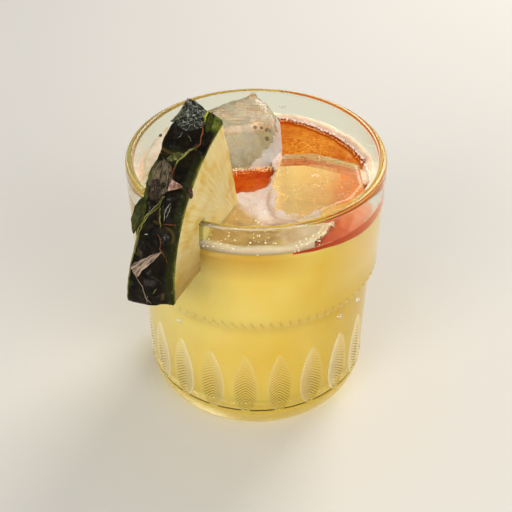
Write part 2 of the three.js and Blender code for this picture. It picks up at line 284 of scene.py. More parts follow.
def baked(piece: Piece) -> Piece:
    """Turns the piece's modifiers into plain mesh and removes them.

    Args:
        piece: The object.

    Returns:
        The same object.
    """
    evaluated = piece.evaluated_get(bpy.context.evaluated_depsgraph_get())
    mesh = bpy.data.meshes.new_from_object(evaluated)
    old = piece.data
    piece.modifiers.clear()
    piece.data = mesh
    bpy.data.meshes.remove(old)
    mesh.name = piece.name
    return piece


def grown(piece: Piece, name: str, draw: Callable[[Tree, Given], Socket],
          values: dict[str, object], smooth: bool = True) -> Piece:
    """Runs a Geometry Nodes tree on a piece and keeps the result as plain mesh.

    Args:
        piece: The object that the tree works on.
        name: The tree's name. A tree that was built under it before is used again.
        draw: Adds the tree's own nodes, from its inputs to the geometry that it makes.
        values: The tree's named inputs, with sizes in metres.
        smooth: Whether the faces are shaded smooth.

    Returns:
        The same object with its new mesh.
    """
    group = bpy.data.node_groups.get(name)
    if group is None:
        group = bpy.data.node_groups.new(name, "GeometryNodeTree")
        kinds = {float: "Float", int: "Int"}
        group.interface.new_socket(name="Geometry", in_out="INPUT", socket_type="NodeSocketGeometry")
        for title, value in values.items():
            kind = kinds.get(type(value), "Material")
            group.interface.new_socket(name=title, in_out="INPUT", socket_type=f"NodeSocket{kind}")
        group.interface.new_socket(name="Geometry", in_out="OUTPUT", socket_type="NodeSocketGeometry")
        tree = Tree(group)
        given = group.nodes.new("NodeGroupInput").outputs
        shape = tree.add("GeometryNodeRealizeInstances", draw(tree, given))
        if smooth:
            shape = tree.add("GeometryNodeSetShadeSmooth", shape)
        tree.add("NodeGroupOutput", tree.add("GeometryNodeSetMaterial", shape, Material=given["Material"]))
    modifier = piece.modifiers.new("growth", "NODES")
    modifier.node_group = group
    for socket in group.interface.items_tree:
        if socket.in_out == "INPUT" and socket.name in values:
            modifier[socket.identifier] = values[socket.name]
    return baked(piece)


def cut(piece: Piece, cutters: Sequence[Piece]) -> None:
    """Cuts closed helper objects out of a piece and removes them.

    Args:
        piece: The object.
        cutters: The helpers.
    """
    for cutter in cutters:
        modifier = piece.modifiers.new("cut", "BOOLEAN")
        modifier.operation = "DIFFERENCE"
        modifier.solver = "MANIFOLD"
        modifier.object = cutter
        baked(piece)
        mesh = cutter.data
        bpy.data.objects.remove(cutter)
        bpy.data.meshes.remove(mesh)


def moved(piece: Piece, shift: Callable[[Vector, Vector], float]) -> Piece:
    """Moves each vertex along its normal.

    Args:
        piece: The object.
        shift: How far a vertex goes, from its place and its normal, all in millimetres.

    Returns:
        The same object.
    """
    mesh = piece.data
    normals = [v.normal.copy() for v in mesh.vertices]
    for vertex, normal in zip(mesh.vertices, normals):
        vertex.co += normal * shift(vertex.co / MM, normal) * MM
    mesh.update()
    return piece


def shrunk_copies(pieces: Sequence[Piece], depth: float) -> list[Piece]:
    """Helper copies of pieces, smaller by a depth in millimetres all round."""
    copies = [made_object(f"{piece.name}_inside", piece.data.copy()) for piece in pieces]
    return [moved(copy, lambda place, normal: -depth) for copy in copies]


def block(name: str, counts: tuple[int, int, int], place: Callable[[float, float, float], Place]) -> Piece:
    """A bent block.

    Args:
        name: The piece's name.
        counts: Cells along each of the block's three directions.
        place: Gives the place of a point from its three shares, each from 0 to 1.

    Returns:
        The new object.
    """
    numbers: dict[tuple[int, ...], int] = {}
    points: list[Place] = []
    faces: list[list[int]] = []
    for axis in range(3):
        first, second = [a for a in range(3) if a != axis]
        for level in (0, counts[axis]):
            for i in range(counts[first]):
                for j in range(counts[second]):
                    faces.append([])
                    for di, dj in ((0, 0), (1, 0), (1, 1), (0, 1)):
                        cell = [level] * 3
                        cell[first], cell[second] = i + di, j + dj
                        corner = tuple(cell)
                        if corner not in numbers:
                            numbers[corner] = len(points)
                            points.append(place(*[c / n for c, n in zip(corner, counts)]))
                        faces[-1].append(numbers[corner])
    return made_mesh(name, points, faces)


def path(start: Point, *parts: tuple) -> list[Point]:
    """A line of points in one plane.

    Args:
        start: Its first point.
        parts: Straight runs, as (end, steps), and smooth bends, as (control point, end, steps).

    Returns:
        The points of all parts and the last end.
    """
    points: list[Point] = []
    for *control, end, steps in parts:
        for i in range(steps):
            t = i / steps
            if control:
                shares = ((1 - t) ** 2, 2 * t * (1 - t), t * t)
                points.append(tuple(sum(s * c for s, c in zip(shares, three))
                                    for three in zip(start, control[0], end)))
            else:
                points.append(tuple(a + (b - a) * i / steps for a, b in zip(start, end)))
        start = end
    return [*points, start]


def turned(name: str, profile: Sequence[Point], sides: int, ring_shaped: bool = False) -> Piece:
    """A closed body of revolution about Z.

    Args:
        name: The piece's name.
        profile: Radius and height of each ring, starting and ending on the axis.
        sides: Number of columns round the axis.
        ring_shaped: Whether the profile closes on itself instead, away from the axis.

    Returns:
        The new object.
    """
    points: list[Place] = []
    rings: list[list[int]] = []
    for radius, height in profile:
        count = 1 if radius == 0 else sides
        rings.append(list(range(len(points), len(points) + count)))
        for i in range(count):
            azimuth = math.tau * i / sides
            points.append((radius * math.sin(azimuth), -radius * math.cos(azimuth), height))
    faces: list[tuple[int, ...]] = []
    for low, high in zip(rings, rings[1:] + (rings[:1] if ring_shaped else [])):
        for i in range(sides):
            j = (i + 1) % sides
            ring = [low[i % len(low)], low[j % len(low)], high[j % len(high)], high[i % len(high)]]
            faces.append(tuple(dict.fromkeys(ring)))
    return made_mesh(name, points, faces)


def creased(piece: Piece, limit: float = math.radians(38)) -> None:
    """Shades a piece smooth except across edges that bend more than the limit.

    Args:
        piece: The object.
        limit: The angle.
    """
    def sharpen(work: bmesh.types.BMesh) -> None:
        """Marks each edge as smooth or sharp."""
        for edge in work.edges:
            edge.smooth = edge.calc_face_angle(0.0) < limit

    reworked(piece.data, sharpen)


def set_values(piece: Piece, **values: Sequence[float]) -> None:
    """Stores one number for each vertex under each name, for the material to read."""
    for name, numbers in values.items():
        piece.data.attributes.new(name, "FLOAT", "POINT").data.foreach_set("value", numbers)


def clamped(value: float) -> float:
    """The value, or the nearer one of 0 and 1."""
    return min(max(value, 0.0), 1.0)


def ramped(value: float, low: float, high: float) -> float:
    """How far a value is from low to high, eased at both ends, from 0 to 1."""
    t = clamped((value - low) / (high - low))
    return t * t * (3 - 2 * t)


def waviness(place: Sequence[float], size: float, seed: float = 0.0) -> float:
    """Smooth noise between about -1 and 1 whose lumps are of a size in millimetres."""
    return noise.noise(Vector(place) / size + Vector((seed, seed * 1.7, seed * 0.3)))


def line_distance(x: float, y: float, points: Sequence[Point]) -> float:
    """Distance on the plan from a place to a line.

    Args:
        x: The place's x.
        y: The place's y.
        points: The line's points.

    Returns:
        The distance in millimetres.
    """
    nearest = math.inf
    for (ax, ay), (bx, by) in zip(points, points[1:]):
        dx, dy = bx - ax, by - ay
        t = clamped(((x - ax) * dx + (y - ay) * dy) / (dx * dx + dy * dy))
        nearest = min(nearest, math.hypot(x - ax - t * dx, y - ay - t * dy))
    return nearest


def inside_distance(x: float, y: float, corners: Sequence[Point]) -> float:
    """Distance on the plan from a place to a closed outline.

    Args:
        x: The place's x.
        y: The place's y.
        corners: The outline's corners.

    Returns:
        The distance in millimetres, below 0 outside the outline.
    """
    closed = [*corners, corners[0]]
    inside = False
    for (ax, ay), (bx, by) in zip(closed, closed[1:]):
        if (ay > y) != (by > y) and x < ax + (y - ay) * (bx - ax) / (by - ay):
            inside = not inside
    nearest = line_distance(x, y, closed)
    return nearest if inside else -nearest


# Finishes

@dataclass(frozen=True)
class Finish:
    """A named finish. Each kind of finish says how its surface is shaded."""

    name: str

    def shade(self, tree: Tree) -> Socket:
        """Builds the surface's shader."""
        raise NotImplementedError

    def material(self) -> bpy.types.Material:
        """The finish's material, made when it is first asked for."""
        material = bpy.data.materials.get(self.name)
        if material is None:
            material = bpy.data.materials.new(self.name)
            material.use_nodes = True
            material.node_tree.nodes.clear()
            tree = Tree(material.node_tree)
            tree.add("OutputMaterial", self.shade(tree))
        return material


@dataclass(frozen=True)
class ClearBody(Finish):
    """A clear solid that lamps shine through: light is bent by it, and its shadow is only tinted."""

    tint: str = "ffffff"
    shadow: str = "ffffff"
    ior: float = 1.5
    roughness: float = 0.0
    bump_size: float = 0.0
    bump_height: float = 0.0
    groove_painted_shade_colour: str = ""
    groove_depth: float = 0.04
    rib_shade: float = 1.2
    rib_power: float = 7.0
    reflection: str = "686868"
    # Painted glint: a pale layer that glows a little where the relief is seen from the side, with painted
    # shade along its ribs
    haze: str = "faf0cc"
    painted_glint_rib_shade: str = "5c4a14"
    painted_glint_glow: float = 0.2
    painted_glint_facing: Point = (0.3, 0.7)
    cloud: str = ""
    cloud_size: float = 6.0
    cloud_share: Point = (0.0, 0.0)
    band: Stops = ()
    band_width: float = 7.4
    band_share: float = 0.55
    band_mark: str = "8a5226"

    def shade(self, tree: Tree) -> Socket:
        """Principled transmission with a tinted shadow, and what is in or on the body where it has that.

        Args:
            tree: The material's tree.

        Returns:
            The shader.
        """
        place = tree.here()
        colour, more = self.tint, {}
        if self.groove_painted_shade_colour:
            # Painted shade: the stored groove marks and narrow lines along the ribs darken the glass's colour
            groove, count, strength = tree.stored("groove", "rib_count", "rib_strength")
            rib = tree.product(tree.ridges(count, self.rib_power), strength)
            rib = tree.add("Math MULTIPLY", rib, self.rib_shade, use_clamp=True)
            groove = tree.add("Math MAXIMUM", groove, rib)
            colour = tree.layered(self.tint, (self.groove_painted_shade_colour, groove))
            more["Normal"] = tree.add("Bump", Height=rib, Distance=self.groove_depth * MM, Strength=1.0,
                                      invert=True)
            more["Specular_Tint"] = self.reflection
        if self.bump_height:
            ripple = tree.add("TexNoise", place, 1 / self.bump_size, 3.0)
            more["Normal"] = tree.add("Bump", Height=ripple, Distance=self.bump_height * MM, Strength=1.0)
        body = tree.add("BsdfPrincipled", colour, Roughness=self.roughness, IOR=self.ior,
                        Transmission_Weight=1.0, **more)
        if self.cloud:
            body = self.clouded(tree, place, body)
        if self.band:
            body = self.banded(tree, place, body)
        if self.groove_painted_shade_colour:
            body = self.with_painted_glint(tree, body, groove)
        passes = tree.add("BsdfTransparent", self.shadow)
        return tree.add("MixShader", tree.add("LightPath", out="Is Shadow Ray"), body, passes)

    def with_painted_glint(self, tree: Tree, body: Socket, groove: Socket) -> Socket:
        """Adds a painted pale glint, which also glows a little, where the fine pressed relief is seen from the
        side.

        Args:
            tree: The material's tree.
            body: The shader so far.
            groove: How much painted shade the grooves and ribs give the place.

        Returns:
            The shader.
        """
        facing = tree.add("LayerWeight", Blend=0.5, out="Facing")
        share = tree.product(*tree.stored("haze"), (facing, *self.painted_glint_facing))
        lined = tree.layered(self.haze, (self.painted_glint_rib_shade, groove))
        pale = tree.add("BsdfPrincipled", lined, Roughness=0.5, Emission_Color=lined,
                        Emission_Strength=self.painted_glint_glow)
        return tree.add("MixShader", share, body, pale)

    def banded(self, tree: Tree, place: Socket, body: Socket) -> Socket:
        """Draws the coloured bands that melted ridges along one edge take from the orange behind them.

        Args:
            tree: The material's tree.
            place: The shaded place.
            body: The shader so far.

        Returns:
            The shader.
        """
        apart, = tree.stored("from_edge")
        sway = tree.add("TexNoise", place, 1 / 3, 3.0)
        swayed = tree.add("Math MULTIPLY_ADD", sway, 1.6, apart)
        swayed = tree.add("Math SUBTRACT", swayed, 0.8)
        along = tree.product((swayed, 0.0, self.band_width))
        fleck = tree.add("TexNoise", place, 1 / 1.3, 3.0)
        colour = tree.layered(tree.add("ValToRGB", along, stops=self.band),
                              (self.band_mark, (fleck, 0.58, 0.62, 0.0, 0.8)))
        skin = tree.add("BsdfPrincipled", colour, Roughness=0.25, IOR=1.31)
        share = tree.product((apart, 0.2, 0.7), (swayed, self.band_width, self.band_width - 0.5),
                             self.band_share)
        return tree.add("MixShader", share, body, skin)

    def clouded(self, tree: Tree, place: Socket, body: Socket) -> Socket:
        """Mixes the clear body with white air trapped just under its surface.

        Args:
            tree: The material's tree.
            place: The shaded place.
            body: The shader so far.

        Returns:
            The shader.
        """
        air = tree.add("BsdfPrincipled", self.cloud, Roughness=0.3, Subsurface_Weight=0.6,
                       Subsurface_Radius=(1.0, 1.0, 1.0), Subsurface_Scale=3 * MM)
        drift = tree.add("TexNoise", place, 1 / self.cloud_size, 2.5, 0.5)
        return tree.add("MixShader", tree.product((drift, 0.35, 0.65, *self.cloud_share)), body, air)


@dataclass(frozen=True)
class CloudyDrink(Finish):
    """Fruit juice, coconut cream and spirit shaken together: light sinks in and comes back soft."""

    left: str = "f0de92"
    right: str = "e4c24c"
    low: str = "dfc25c"
    shaded: str = "c4942c"
    pale: str = "f2dca8"
    drift_size: float = 22.0
    drift: float = 14.0
    glow: float = 0.1
    foot_glow: float = 0.42
    hollow_glow: float = 0.2
    hollow_radius: float = 35.8
    hollow_floor: float = 14.0
    level: float = 79.7
    hollows: Stops = ((0.0, "d8c6ac"), (0.3, "c4b99a"), (0.5, "bdb494"), (0.58, "ddd090"), (0.68, "ecdf9c"),
                      (0.84, "ead086"), (0.9, "e6941c"), (0.97, "e07c08"))

    def shade(self, tree: Tree) -> Socket:
        """A soft yellow body, paler at the left and deeper gold at the right and low down, with painted shade
        just under the foam and a painted glow.

        Args:
            tree: The material's tree.

        Returns:
            The shader.
        """
        place = tree.here()
        x, _, z, _, radius = tree.parts(place)
        wander = tree.product((tree.add("TexNoise", place, 1 / self.drift_size, 2.0), 0.3, 0.7,
                               -self.drift, self.drift))
        across = tree.add("Math ADD", x, wander)
        hollow = tree.product(tree.add("Math LESS_THAN", radius, self.hollow_radius),
                              tree.add("Math GREATER_THAN", z, self.hollow_floor),
                              tree.add("Math LESS_THAN", z, self.level))
        reach = tree.product((x, -self.hollow_radius, self.hollow_radius))
        # Painted shade: shaded darkens the drink just under the foam, most towards the left
        colour = tree.layered(
            self.left,
            (self.right, (across, -30.0, 26.0)),
            (self.low, (z, 46.0, 16.0, 0.0, 0.55)),
            (self.shaded, (z, 69.0, 79.0, 0.0, 0.85), (x, 24.0, 2.0)),
            (self.pale, (x, 20.0, 38.0, 0.0, 0.8), (z, 52.0, 62.0)),
            (tree.add("ValToRGB", reach, stops=self.hollows), hollow))
        # Painted glow: the drink emits a little of its own colour, more at its foot and in the hollows round
        # the ice
        glow = tree.add("Math MAXIMUM", tree.product((z, 13.0, 9.0, self.glow, self.foot_glow)),
                        tree.product(hollow, self.hollow_glow))
        return tree.add("BsdfPrincipled", colour, Roughness=0.25, IOR=1.35, Subsurface_Weight=0.8,
                        Subsurface_Radius=(1.0, 0.75, 0.3), Subsurface_Scale=5 * MM,
                        Emission_Color=tree.add("VectorMath SCALE", colour, glow), Emission_Strength=1.0)


@dataclass(frozen=True)
class WetFoam(Finish):
    """Fine wet froth of coconut cream: matt warm white, breaking up into single bubbles at its edge."""

    white: str = "f9e6da"
    cream: str = "f0d2bc"
    golden: str = "d2ae6a"
    golden_lean: Place = (-1.2, -1.0, 0.0)
    golden_from: Point = (23.2, 28.0)
    golden_front: Point = (-7.0, -12.0)
    # wall is painted shade on the front of the foam near the glass, and ring a dimmer painted shade on its
    # outermost edge there
    wall: str = "a88048"
    wall_ring: Point = (26.0, 30.0)
    wall_white: Point = (37.8, 39.0)
    ring: str = "d4c2b2"
    wall_middle: Point = (13.0, 5.0)
    wall_low: float = 81.9
    bubble: float = 0.6

    def shade(self, tree: Tree) -> Socket:
        """Soft white body with a bubbly bump; the stored veil thins it out, bubble by bubble.

        Args:
            tree: The material's tree.

        Returns:
            The shader.
        """
        place = tree.here()
        x, y, z, _, radius = tree.parts(place)
        drift = tree.add("TexNoise", place, 1 / 7, 4.0)
        leaning = tree.add("VectorMath DOT_PRODUCT", place, self.golden_lean)
        swayed = tree.add("Math MULTIPLY_ADD", drift, 6.0, leaning)
        swayed = tree.add("Math SUBTRACT", swayed, 3.0)
        aside = tree.add("Math ABSOLUTE", x)
        front = tree.product((y, -8.0, -22.0))
        # Painted shade: wall darkens the front of the foam towards the glass, and ring dims its outermost edge
        # there
        colour = tree.layered(
            tree.add("ValToRGB", drift, stops=((0.35, self.cream), (0.62, self.white))),
            (self.golden, (swayed, *self.golden_from), (y, *self.golden_front)),
            (self.wall, (radius, *self.wall_ring), (radius, *self.wall_white[::-1]),
             (aside, *self.wall_middle, 0.45), (z, self.wall_low, self.wall_low + 0.5), front),
            (self.ring, (radius, *self.wall_white), front))
        cells = tree.add("TexVoronoi", place, 1 / self.bubble)
        bump = tree.add("Bump", Height=cells, Distance=0.1 * MM, Strength=0.6, invert=True)
        froth = tree.add("BsdfPrincipled", colour, Roughness=0.3, IOR=1.35, Normal=bump,
                         Subsurface_Weight=0.7, Subsurface_Radius=(1.0, 0.7, 0.45), Subsurface_Scale=2 * MM)
        limit = tree.product((*tree.stored("veil"), 0.0, 1.0, 1.3, -0.1))
        cover = tree.product((tree.add("Math SUBTRACT", limit, cells), -0.08, 0.08))
        return tree.add("MixShader", cover, tree.add("BsdfTransparent"), froth)


@dataclass(frozen=True)
class FrothBead(Finish):
    """The wet skin of one froth bubble: pale, with a bright round highlight."""

    colour: str = "fff4ea"
    # Painted glow: the bubble emits its own colour
    glow: float = 0.12

    def shade(self, tree: Tree) -> Socket:
        """A glossy pale body."""
        return tree.add("BsdfPrincipled", self.colour, Roughness=0.1, IOR=1.33, Specular_IOR_Level=0.9,
                        Emission_Color=self.colour, Emission_Strength=self.glow)


@dataclass(frozen=True)
class OrangeFruit(Finish):
    """A cut slice of blood-ripe orange: oily deep peel, a thin paler pith, and wet flesh in segments."""

    peel: str = "d65a06"
    pith: str = "ce5004"
    tones: Stops = ((0.2, "c23a02"), (0.5, "c45c04"), (0.95, "da861c"))
    deep_tones: Stops = ((0.4, "c23a02"), (0.6, "ca4404"), (0.9, "da6008"))
    front_tones: Stops = ((0.0, "e47a04"), (0.35, "ec8400"), (0.65, "d65a00"), (0.92, "a82e00"))
    peel_radius: float = 37.6
    pith_radius: float = 36.4
    ripe: str = "f0a636"
    ripe_middle: Place = (17.5, 19.5, 0.0)
    ripe_size: Point = (12.0, 3.0)
    front_reach: float = 38.0
    # Painted glow: the slice emits a little of its own colour
    glow: float = 0.08
    deep: Point = (10.5, 5.0)
    veiled: str = "dc743c"
    veiled_lean: Place = (-0.5, 1.0, 0.0)
    veiled_from: Point = (-4.0, -6.8)
    cut_angle: float = math.radians(33.1)

    def shade(self, tree: Tree) -> Socket:
        """Colours laid out by the distance from the slice's middle and from its cut.

        Args:
            tree: The material's tree.

        Returns:
            The shader.
        """
        place = tree.here()
        x, y, _, plan, radius = tree.parts(place)
        vesicle = tree.add("TexVoronoi", place, 1 / 1.9, feature="SMOOTH_F1")
        blotch = tree.add("TexNoise", place, 1 / 5, 4.0, 0.6)
        mottle = tree.add("Math MULTIPLY_ADD", vesicle, 0.5, blotch)
        from_ripe = tree.add("VectorMath DISTANCE", plan, self.ripe_middle)
        grain = tree.add("TexNoise", place, 1 / 1.1, 3.0, 0.6)
        toward = (math.cos(self.cut_angle), math.sin(self.cut_angle), 0.0)
        from_cut = tree.add("VectorMath DOT_PRODUCT", place, toward)
        leaning = tree.add("VectorMath DOT_PRODUCT", place, self.veiled_lean)
        right = tree.product((x, 8.0, 14.0))
        reach = tree.product((y, 0.0, -self.front_reach))
        colour = tree.layered(
            tree.add("ValToRGB", mottle, stops=self.tones),
            (self.ripe, (grain, 0.46, 0.62), (from_ripe, *self.ripe_size)),
            (tree.add("ValToRGB", mottle, stops=self.deep_tones), (from_cut, *self.deep, 0.0, 0.95)),
            (self.pith, (radius, self.pith_radius - 0.5, self.pith_radius, 0.0, 0.6)),
            (self.peel, (radius, self.peel_radius - 0.5, self.peel_radius)),
            (self.veiled, (leaning, *self.veiled_from, 0.0, 0.8), tree.add("Math SUBTRACT", 1.0, right)),
            (tree.add("ValToRGB", reach, stops=self.front_tones), (y, 1.0, -5.0, 0.0, 0.9), right))
        bump = tree.add("Bump", Height=mottle, Distance=0.3 * MM, Strength=0.35)
        return tree.add("BsdfPrincipled", colour, Roughness=0.22, IOR=1.36, Normal=bump,
                        Subsurface_Weight=0.35, Subsurface_Radius=(1.0, 0.4, 0.1), Subsurface_Scale=1 * MM,
                        Specular_IOR_Level=0.12, Emission_Color=colour, Emission_Strength=self.glow)


@dataclass(frozen=True)
class PineappleFlesh(Finish):
    """Fresh pineapple: moist pale flesh, with golden fibres that run from the core out to the rind."""

    tones: Stops = ((0.7, "f5e3a6"), (0.86, "eed88e"), (1.0, "e6bf5c"))
    # Painted shade: shaded darkens the flesh lower down and outside the glass
    shaded: str = "9c7838"
    shade_height: Point = (94.0, 74.0)
    shade_radius: Point = (40.0, 43.5)
    fibre: float = 1.1
    fibre_length: float = 9.0

    def shade(self, tree: Tree) -> Socket:
        """Streaks follow the piece's own fibre map, stored as its UV map; painted shade darkens the flesh
        lower down and outside the glass.

        Args:
            tree: The material's tree.

        Returns:
            The shader.
        """
        place = tree.here()
        *_, z, _, radius = tree.parts(place)
        along = tree.add("Mapping", tree.add("UVMap", uv_map="fibres"),
                         Scale=(1 / self.fibre_length, 1 / self.fibre, 1.0))
        streak = tree.add("TexNoise", along, 1.0, 4.0, 0.6)
        mixed = tree.add("Math MULTIPLY_ADD", streak, 0.6, tree.add("TexNoise", place, 1 / 8, 3.0))
        colour = tree.layered(
            tree.add("ValToRGB", mixed, stops=self.tones),
            (self.shaded, (z, *self.shade_height, 0.0, 0.9), (radius, *self.shade_radius)))
        bump = tree.add("Bump", Height=streak, Distance=0.2 * MM, Strength=0.15)
        return tree.add("BsdfPrincipled", colour, Roughness=0.3, IOR=1.36, Normal=bump,
                        Subsurface_Weight=0.6, Subsurface_Radius=(1.0, 0.75, 0.35), Subsurface_Scale=3 * MM)


@dataclass(frozen=True)
class WaxyRind(Finish):
    """Pineapple rind: hard waxy scales, nearly black, with dry margins and small wet glints."""

    tones: Stops = ((0.35, "080905"), (0.58, "1c150c"), (0.75, "282e0a"))
    green: str = "282e0a"
    margin: str = "50431e"
    cut_tones: Stops = ((0.4, "3c4a12"), (0.65, "8f9c30"))

    def shade(self, tree: Tree) -> Socket:
        """Scale colour, margins from the stored relief, and the pale green cut edge.

        Args:
            tree: The material's tree.

        Returns:
            The shader.
        """
        place = tree.here()
        blotch = tree.add("TexNoise", place, 1 / 3.5, 6.0, 0.65)
        overs = (self.green, self.margin, tree.add("ValToRGB", blotch, stops=self.cut_tones))
        colour = tree.layered(tree.add("ValToRGB", blotch, stops=self.tones),
                              *zip(overs, tree.stored("green", "margin", "inside")))
        grain = tree.add("TexNoise", place, 1 / 0.9, 4.0)
        bump = tree.add("Bump", Height=grain, Distance=0.08 * MM, Strength=0.6)
        glint = tree.product((tree.add("TexNoise", place, 1 / 3.2, 6.0, 0.7), 0.56, 0.64))
        return tree.add("BsdfPrincipled", colour, Roughness=tree.product((glint, 0.0, 1.0, 0.42, 0.1)),
                        IOR=1.45, Specular_IOR_Level=tree.product((glint, 0.0, 1.0, 0.08, 0.5)), Normal=bump)


@dataclass(frozen=True)
class DryLeaf(Finish):
    """A dried or green bract of the rind: thin, ribbed or veined, dull unless it is still green."""

    light: str
    dark: str
    roughness: float
    sheen: float = 0.2
    vein: str = ""
    vein_size: float = 1.4
    vein_width: Point = (0.004, 0.022)
    blotch: float = 1.8
    rib: float = 0.5
    striped: bool = False
    tones: Point = (0.38, 0.62)

    def shade(self, tree: Tree) -> Socket:
        """Two tones in fine ribs and blotches, crossed by pale veins where the finish has them.

        Args:
            tree: The material's tree.

        Returns:
            The shader.
        """
        place = tree.here()
        spread, size = place, self.blotch
        if self.striped:
            spread, size = tree.add("CombineXYZ", *tree.stored("sideways", "along")), self.rib
        height = tree.add("TexNoise", spread, 1 / size, 6.0, 0.7)
        colour = tree.add("ValToRGB", height, stops=tuple(zip(self.tones, (self.dark, self.light))))
        if self.vein:
            ridge = tree.add("TexNoise", place, 1 / self.vein_size, 4.0, Distortion=0.5)
            off = tree.add("Math ABSOLUTE", tree.add("Math SUBTRACT", ridge, 0.5))
            height = tree.product((off, *self.vein_width, 1.0, 0.0))
            colour = tree.layered(colour, (self.vein, height))
        elif not self.striped:
            height = tree.add("TexNoise", place, 1 / self.rib, 3.0)
        bump = tree.add("Bump", Height=height, Distance=0.1 * MM, Strength=0.7)
        return tree.add("BsdfPrincipled", colour, Roughness=self.roughness, Specular_IOR_Level=self.sheen,
                        Normal=bump)


@dataclass(frozen=True)
class Paper(Finish):
    """A plain matt surface, such as a studio sheet."""

    colour: str = "e9e7e3"

    def shade(self, tree: Tree) -> Socket:
        """An even matt surface."""
        return tree.add("BsdfPrincipled", self.colour, Roughness=0.8)


# Pressed soda-lime glass, faintly yellow-green at its edges, with painted shade in its fine grooves and a
# painted pale glint where its relief is seen from the side
PRESSED_GLASS = ClearBody("pressed_soda_lime_glass", "f2f6e6", "eef0df", 1.52, groove_painted_shade_colour="241b05")
# Water that has condensed on the glass
WATER = ClearBody("water", "ffffff", "fafafa", 1.33)
# Clear ice: few trapped bubbles, and a wet surface that ripples slightly
CLEAR_ICE = ClearBody(
    "clear_wet_ice", "fffdf4", "f6f1e2", 1.31, 0.02, 4.0, 0.03, cloud="f4dca8", cloud_size=9.0,
    cloud_share=(0.12, 0.26),
    band=((0.0, "ccbc80"), (0.42, "c8ae68"), (0.47, "c06048"), (0.54, "e09050"), (0.66, "c87040"),
          (0.72, "e49048"), (0.88, "dc8238"), (0.94, "9a4420"), (1.0, "d0a050")))
# Ice frozen fast, milky with air inside
CLOUDY_ICE = ClearBody("cloudy_ice", "fdfaf0", "ece6d4", 1.31, 0.05, 2.0, 0.12, cloud="b9b39a",
                       cloud_size=5.0, cloud_share=(0.0, 0.7))
# Ice with a thin cover of the drink's foam
FOAMY_ICE = ClearBody("ice_under_foam", "fdf6ea", "ece0d0", 1.31, 0.15, 2.5, 0.15, cloud="f6e8d2",
                      cloud_share=(0.55, 0.95))
# Air shut into the ice or under its skin, which shows as small grey ovals
TRAPPED_AIR = ClearBody("trapped_air_bubble", "a39c88", "d8d0bc", 1.2, 0.1)
# A shaded pit in the ice's surface
ICE_PIT = Paper("shaded_pit_in_ice", "4a4234")
# Bubbles of coconut froth: white, lit gold by the drink, and over the orange
FROTH = FrothBead("froth_bubble")
GOLD_FROTH = FrothBead("froth_bubble_lit_gold", "fcd08a", 0.4)
PEACH_FROTH = FrothBead("froth_bubble_on_orange", "f0a258")
# The cloudy drink, its foam, and the cut fruit in it
COCKTAIL = CloudyDrink("cloudy_cocktail")
FOAM = WetFoam("wet_white_foam")
ORANGE = OrangeFruit("cut_orange")
PINEAPPLE = PineappleFlesh("fresh_pineapple_flesh")
RIND = WaxyRind("waxy_pineapple_rind")
# Bracts of the rind: dried, leathery or still green skin
SILVER_BRACT = DryLeaf("crinkled_silver_bract", "2a2e20", "0b0c08", 0.4, 0.3, "b0b4a2", 1.6)
OLIVE_BRACT = DryLeaf("olive_bract", "6b6a40", "2c2c16", 0.5, vein="a9a98c", vein_size=2.5)
FUZZY_BRACT = DryLeaf("fuzzy_brown_bract", "8e8064", "20140c", 0.7, rib=0.4, striped=True, tones=(0.42, 0.6))
RIDGED_BRACT = DryLeaf("dark_ridged_bract", "4c3826", "100806", 0.5, rib=0.8, striped=True,
                       tones=(0.44, 0.6))
FUZZY_EDGE = DryLeaf("green_serrated_margin", "5c6a1c", "2a330e", 0.6)
GREEN_BRACT = DryLeaf("green_bract", "4a4e16", "1f230a", 0.35, 0.12)
BRIGHT_BRACT = DryLeaf("bright_green_bract", "565a2a", "2a3012", 0.5, 0.08, "96985e", 2.2)
TAN_BRACT = DryLeaf("tan_dry_bract", "c8b098", "2c2018", 0.55, rib=0.7, striped=True, tones=(0.42, 0.58))
PINK_FLAKE = DryLeaf("pink_dry_flake", "c49a86", "7a5242", 0.6, vein="e6cfc0", vein_size=2.0)
# Dry raised edges of the rind's scales, scratches in its wax, and the fine hairs on its bracts
GREEN_MARGIN = DryLeaf("yellow_green_margin", "b9c03a", "7d8a22", 0.4)
PALE_MARGIN = DryLeaf("pale_olive_margin", "979650", "5c5c28", 0.5)
OCHRE_MARGIN = DryLeaf("ochre_margin", "9a5a30", "482812", 0.5)
SILVER_LINE = DryLeaf("silver_scratch", "c4c6b2", "6e705e", 0.4)
HAIR = DryLeaf("pale_bract_hair", "8c8068", "3e3424", 0.6)
# A pineapple's seed: hard, brown and glossy
SEED = DryLeaf("brown_seed", "4a1c12", "1e0a06", 0.25, 0.4)
# Rolled studio paper
FLOOR = Paper("pale_studio_paper")


def finished(piece: Piece, slot: Slot, *nodes: str, finish: Finish | None = None) -> Piece:
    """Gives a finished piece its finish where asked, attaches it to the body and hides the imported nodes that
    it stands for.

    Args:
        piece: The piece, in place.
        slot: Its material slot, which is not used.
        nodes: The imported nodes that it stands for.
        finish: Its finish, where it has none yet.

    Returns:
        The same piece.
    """
    if finish:
        piece.data.materials.clear()
        piece.data.materials.append(finish.material())
    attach(piece, BODY)
    if nodes:
        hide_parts(*nodes)
    LOG.info("%s: %d faces", piece.name, len(piece.data.polygons))
    return piece


# The tumbler

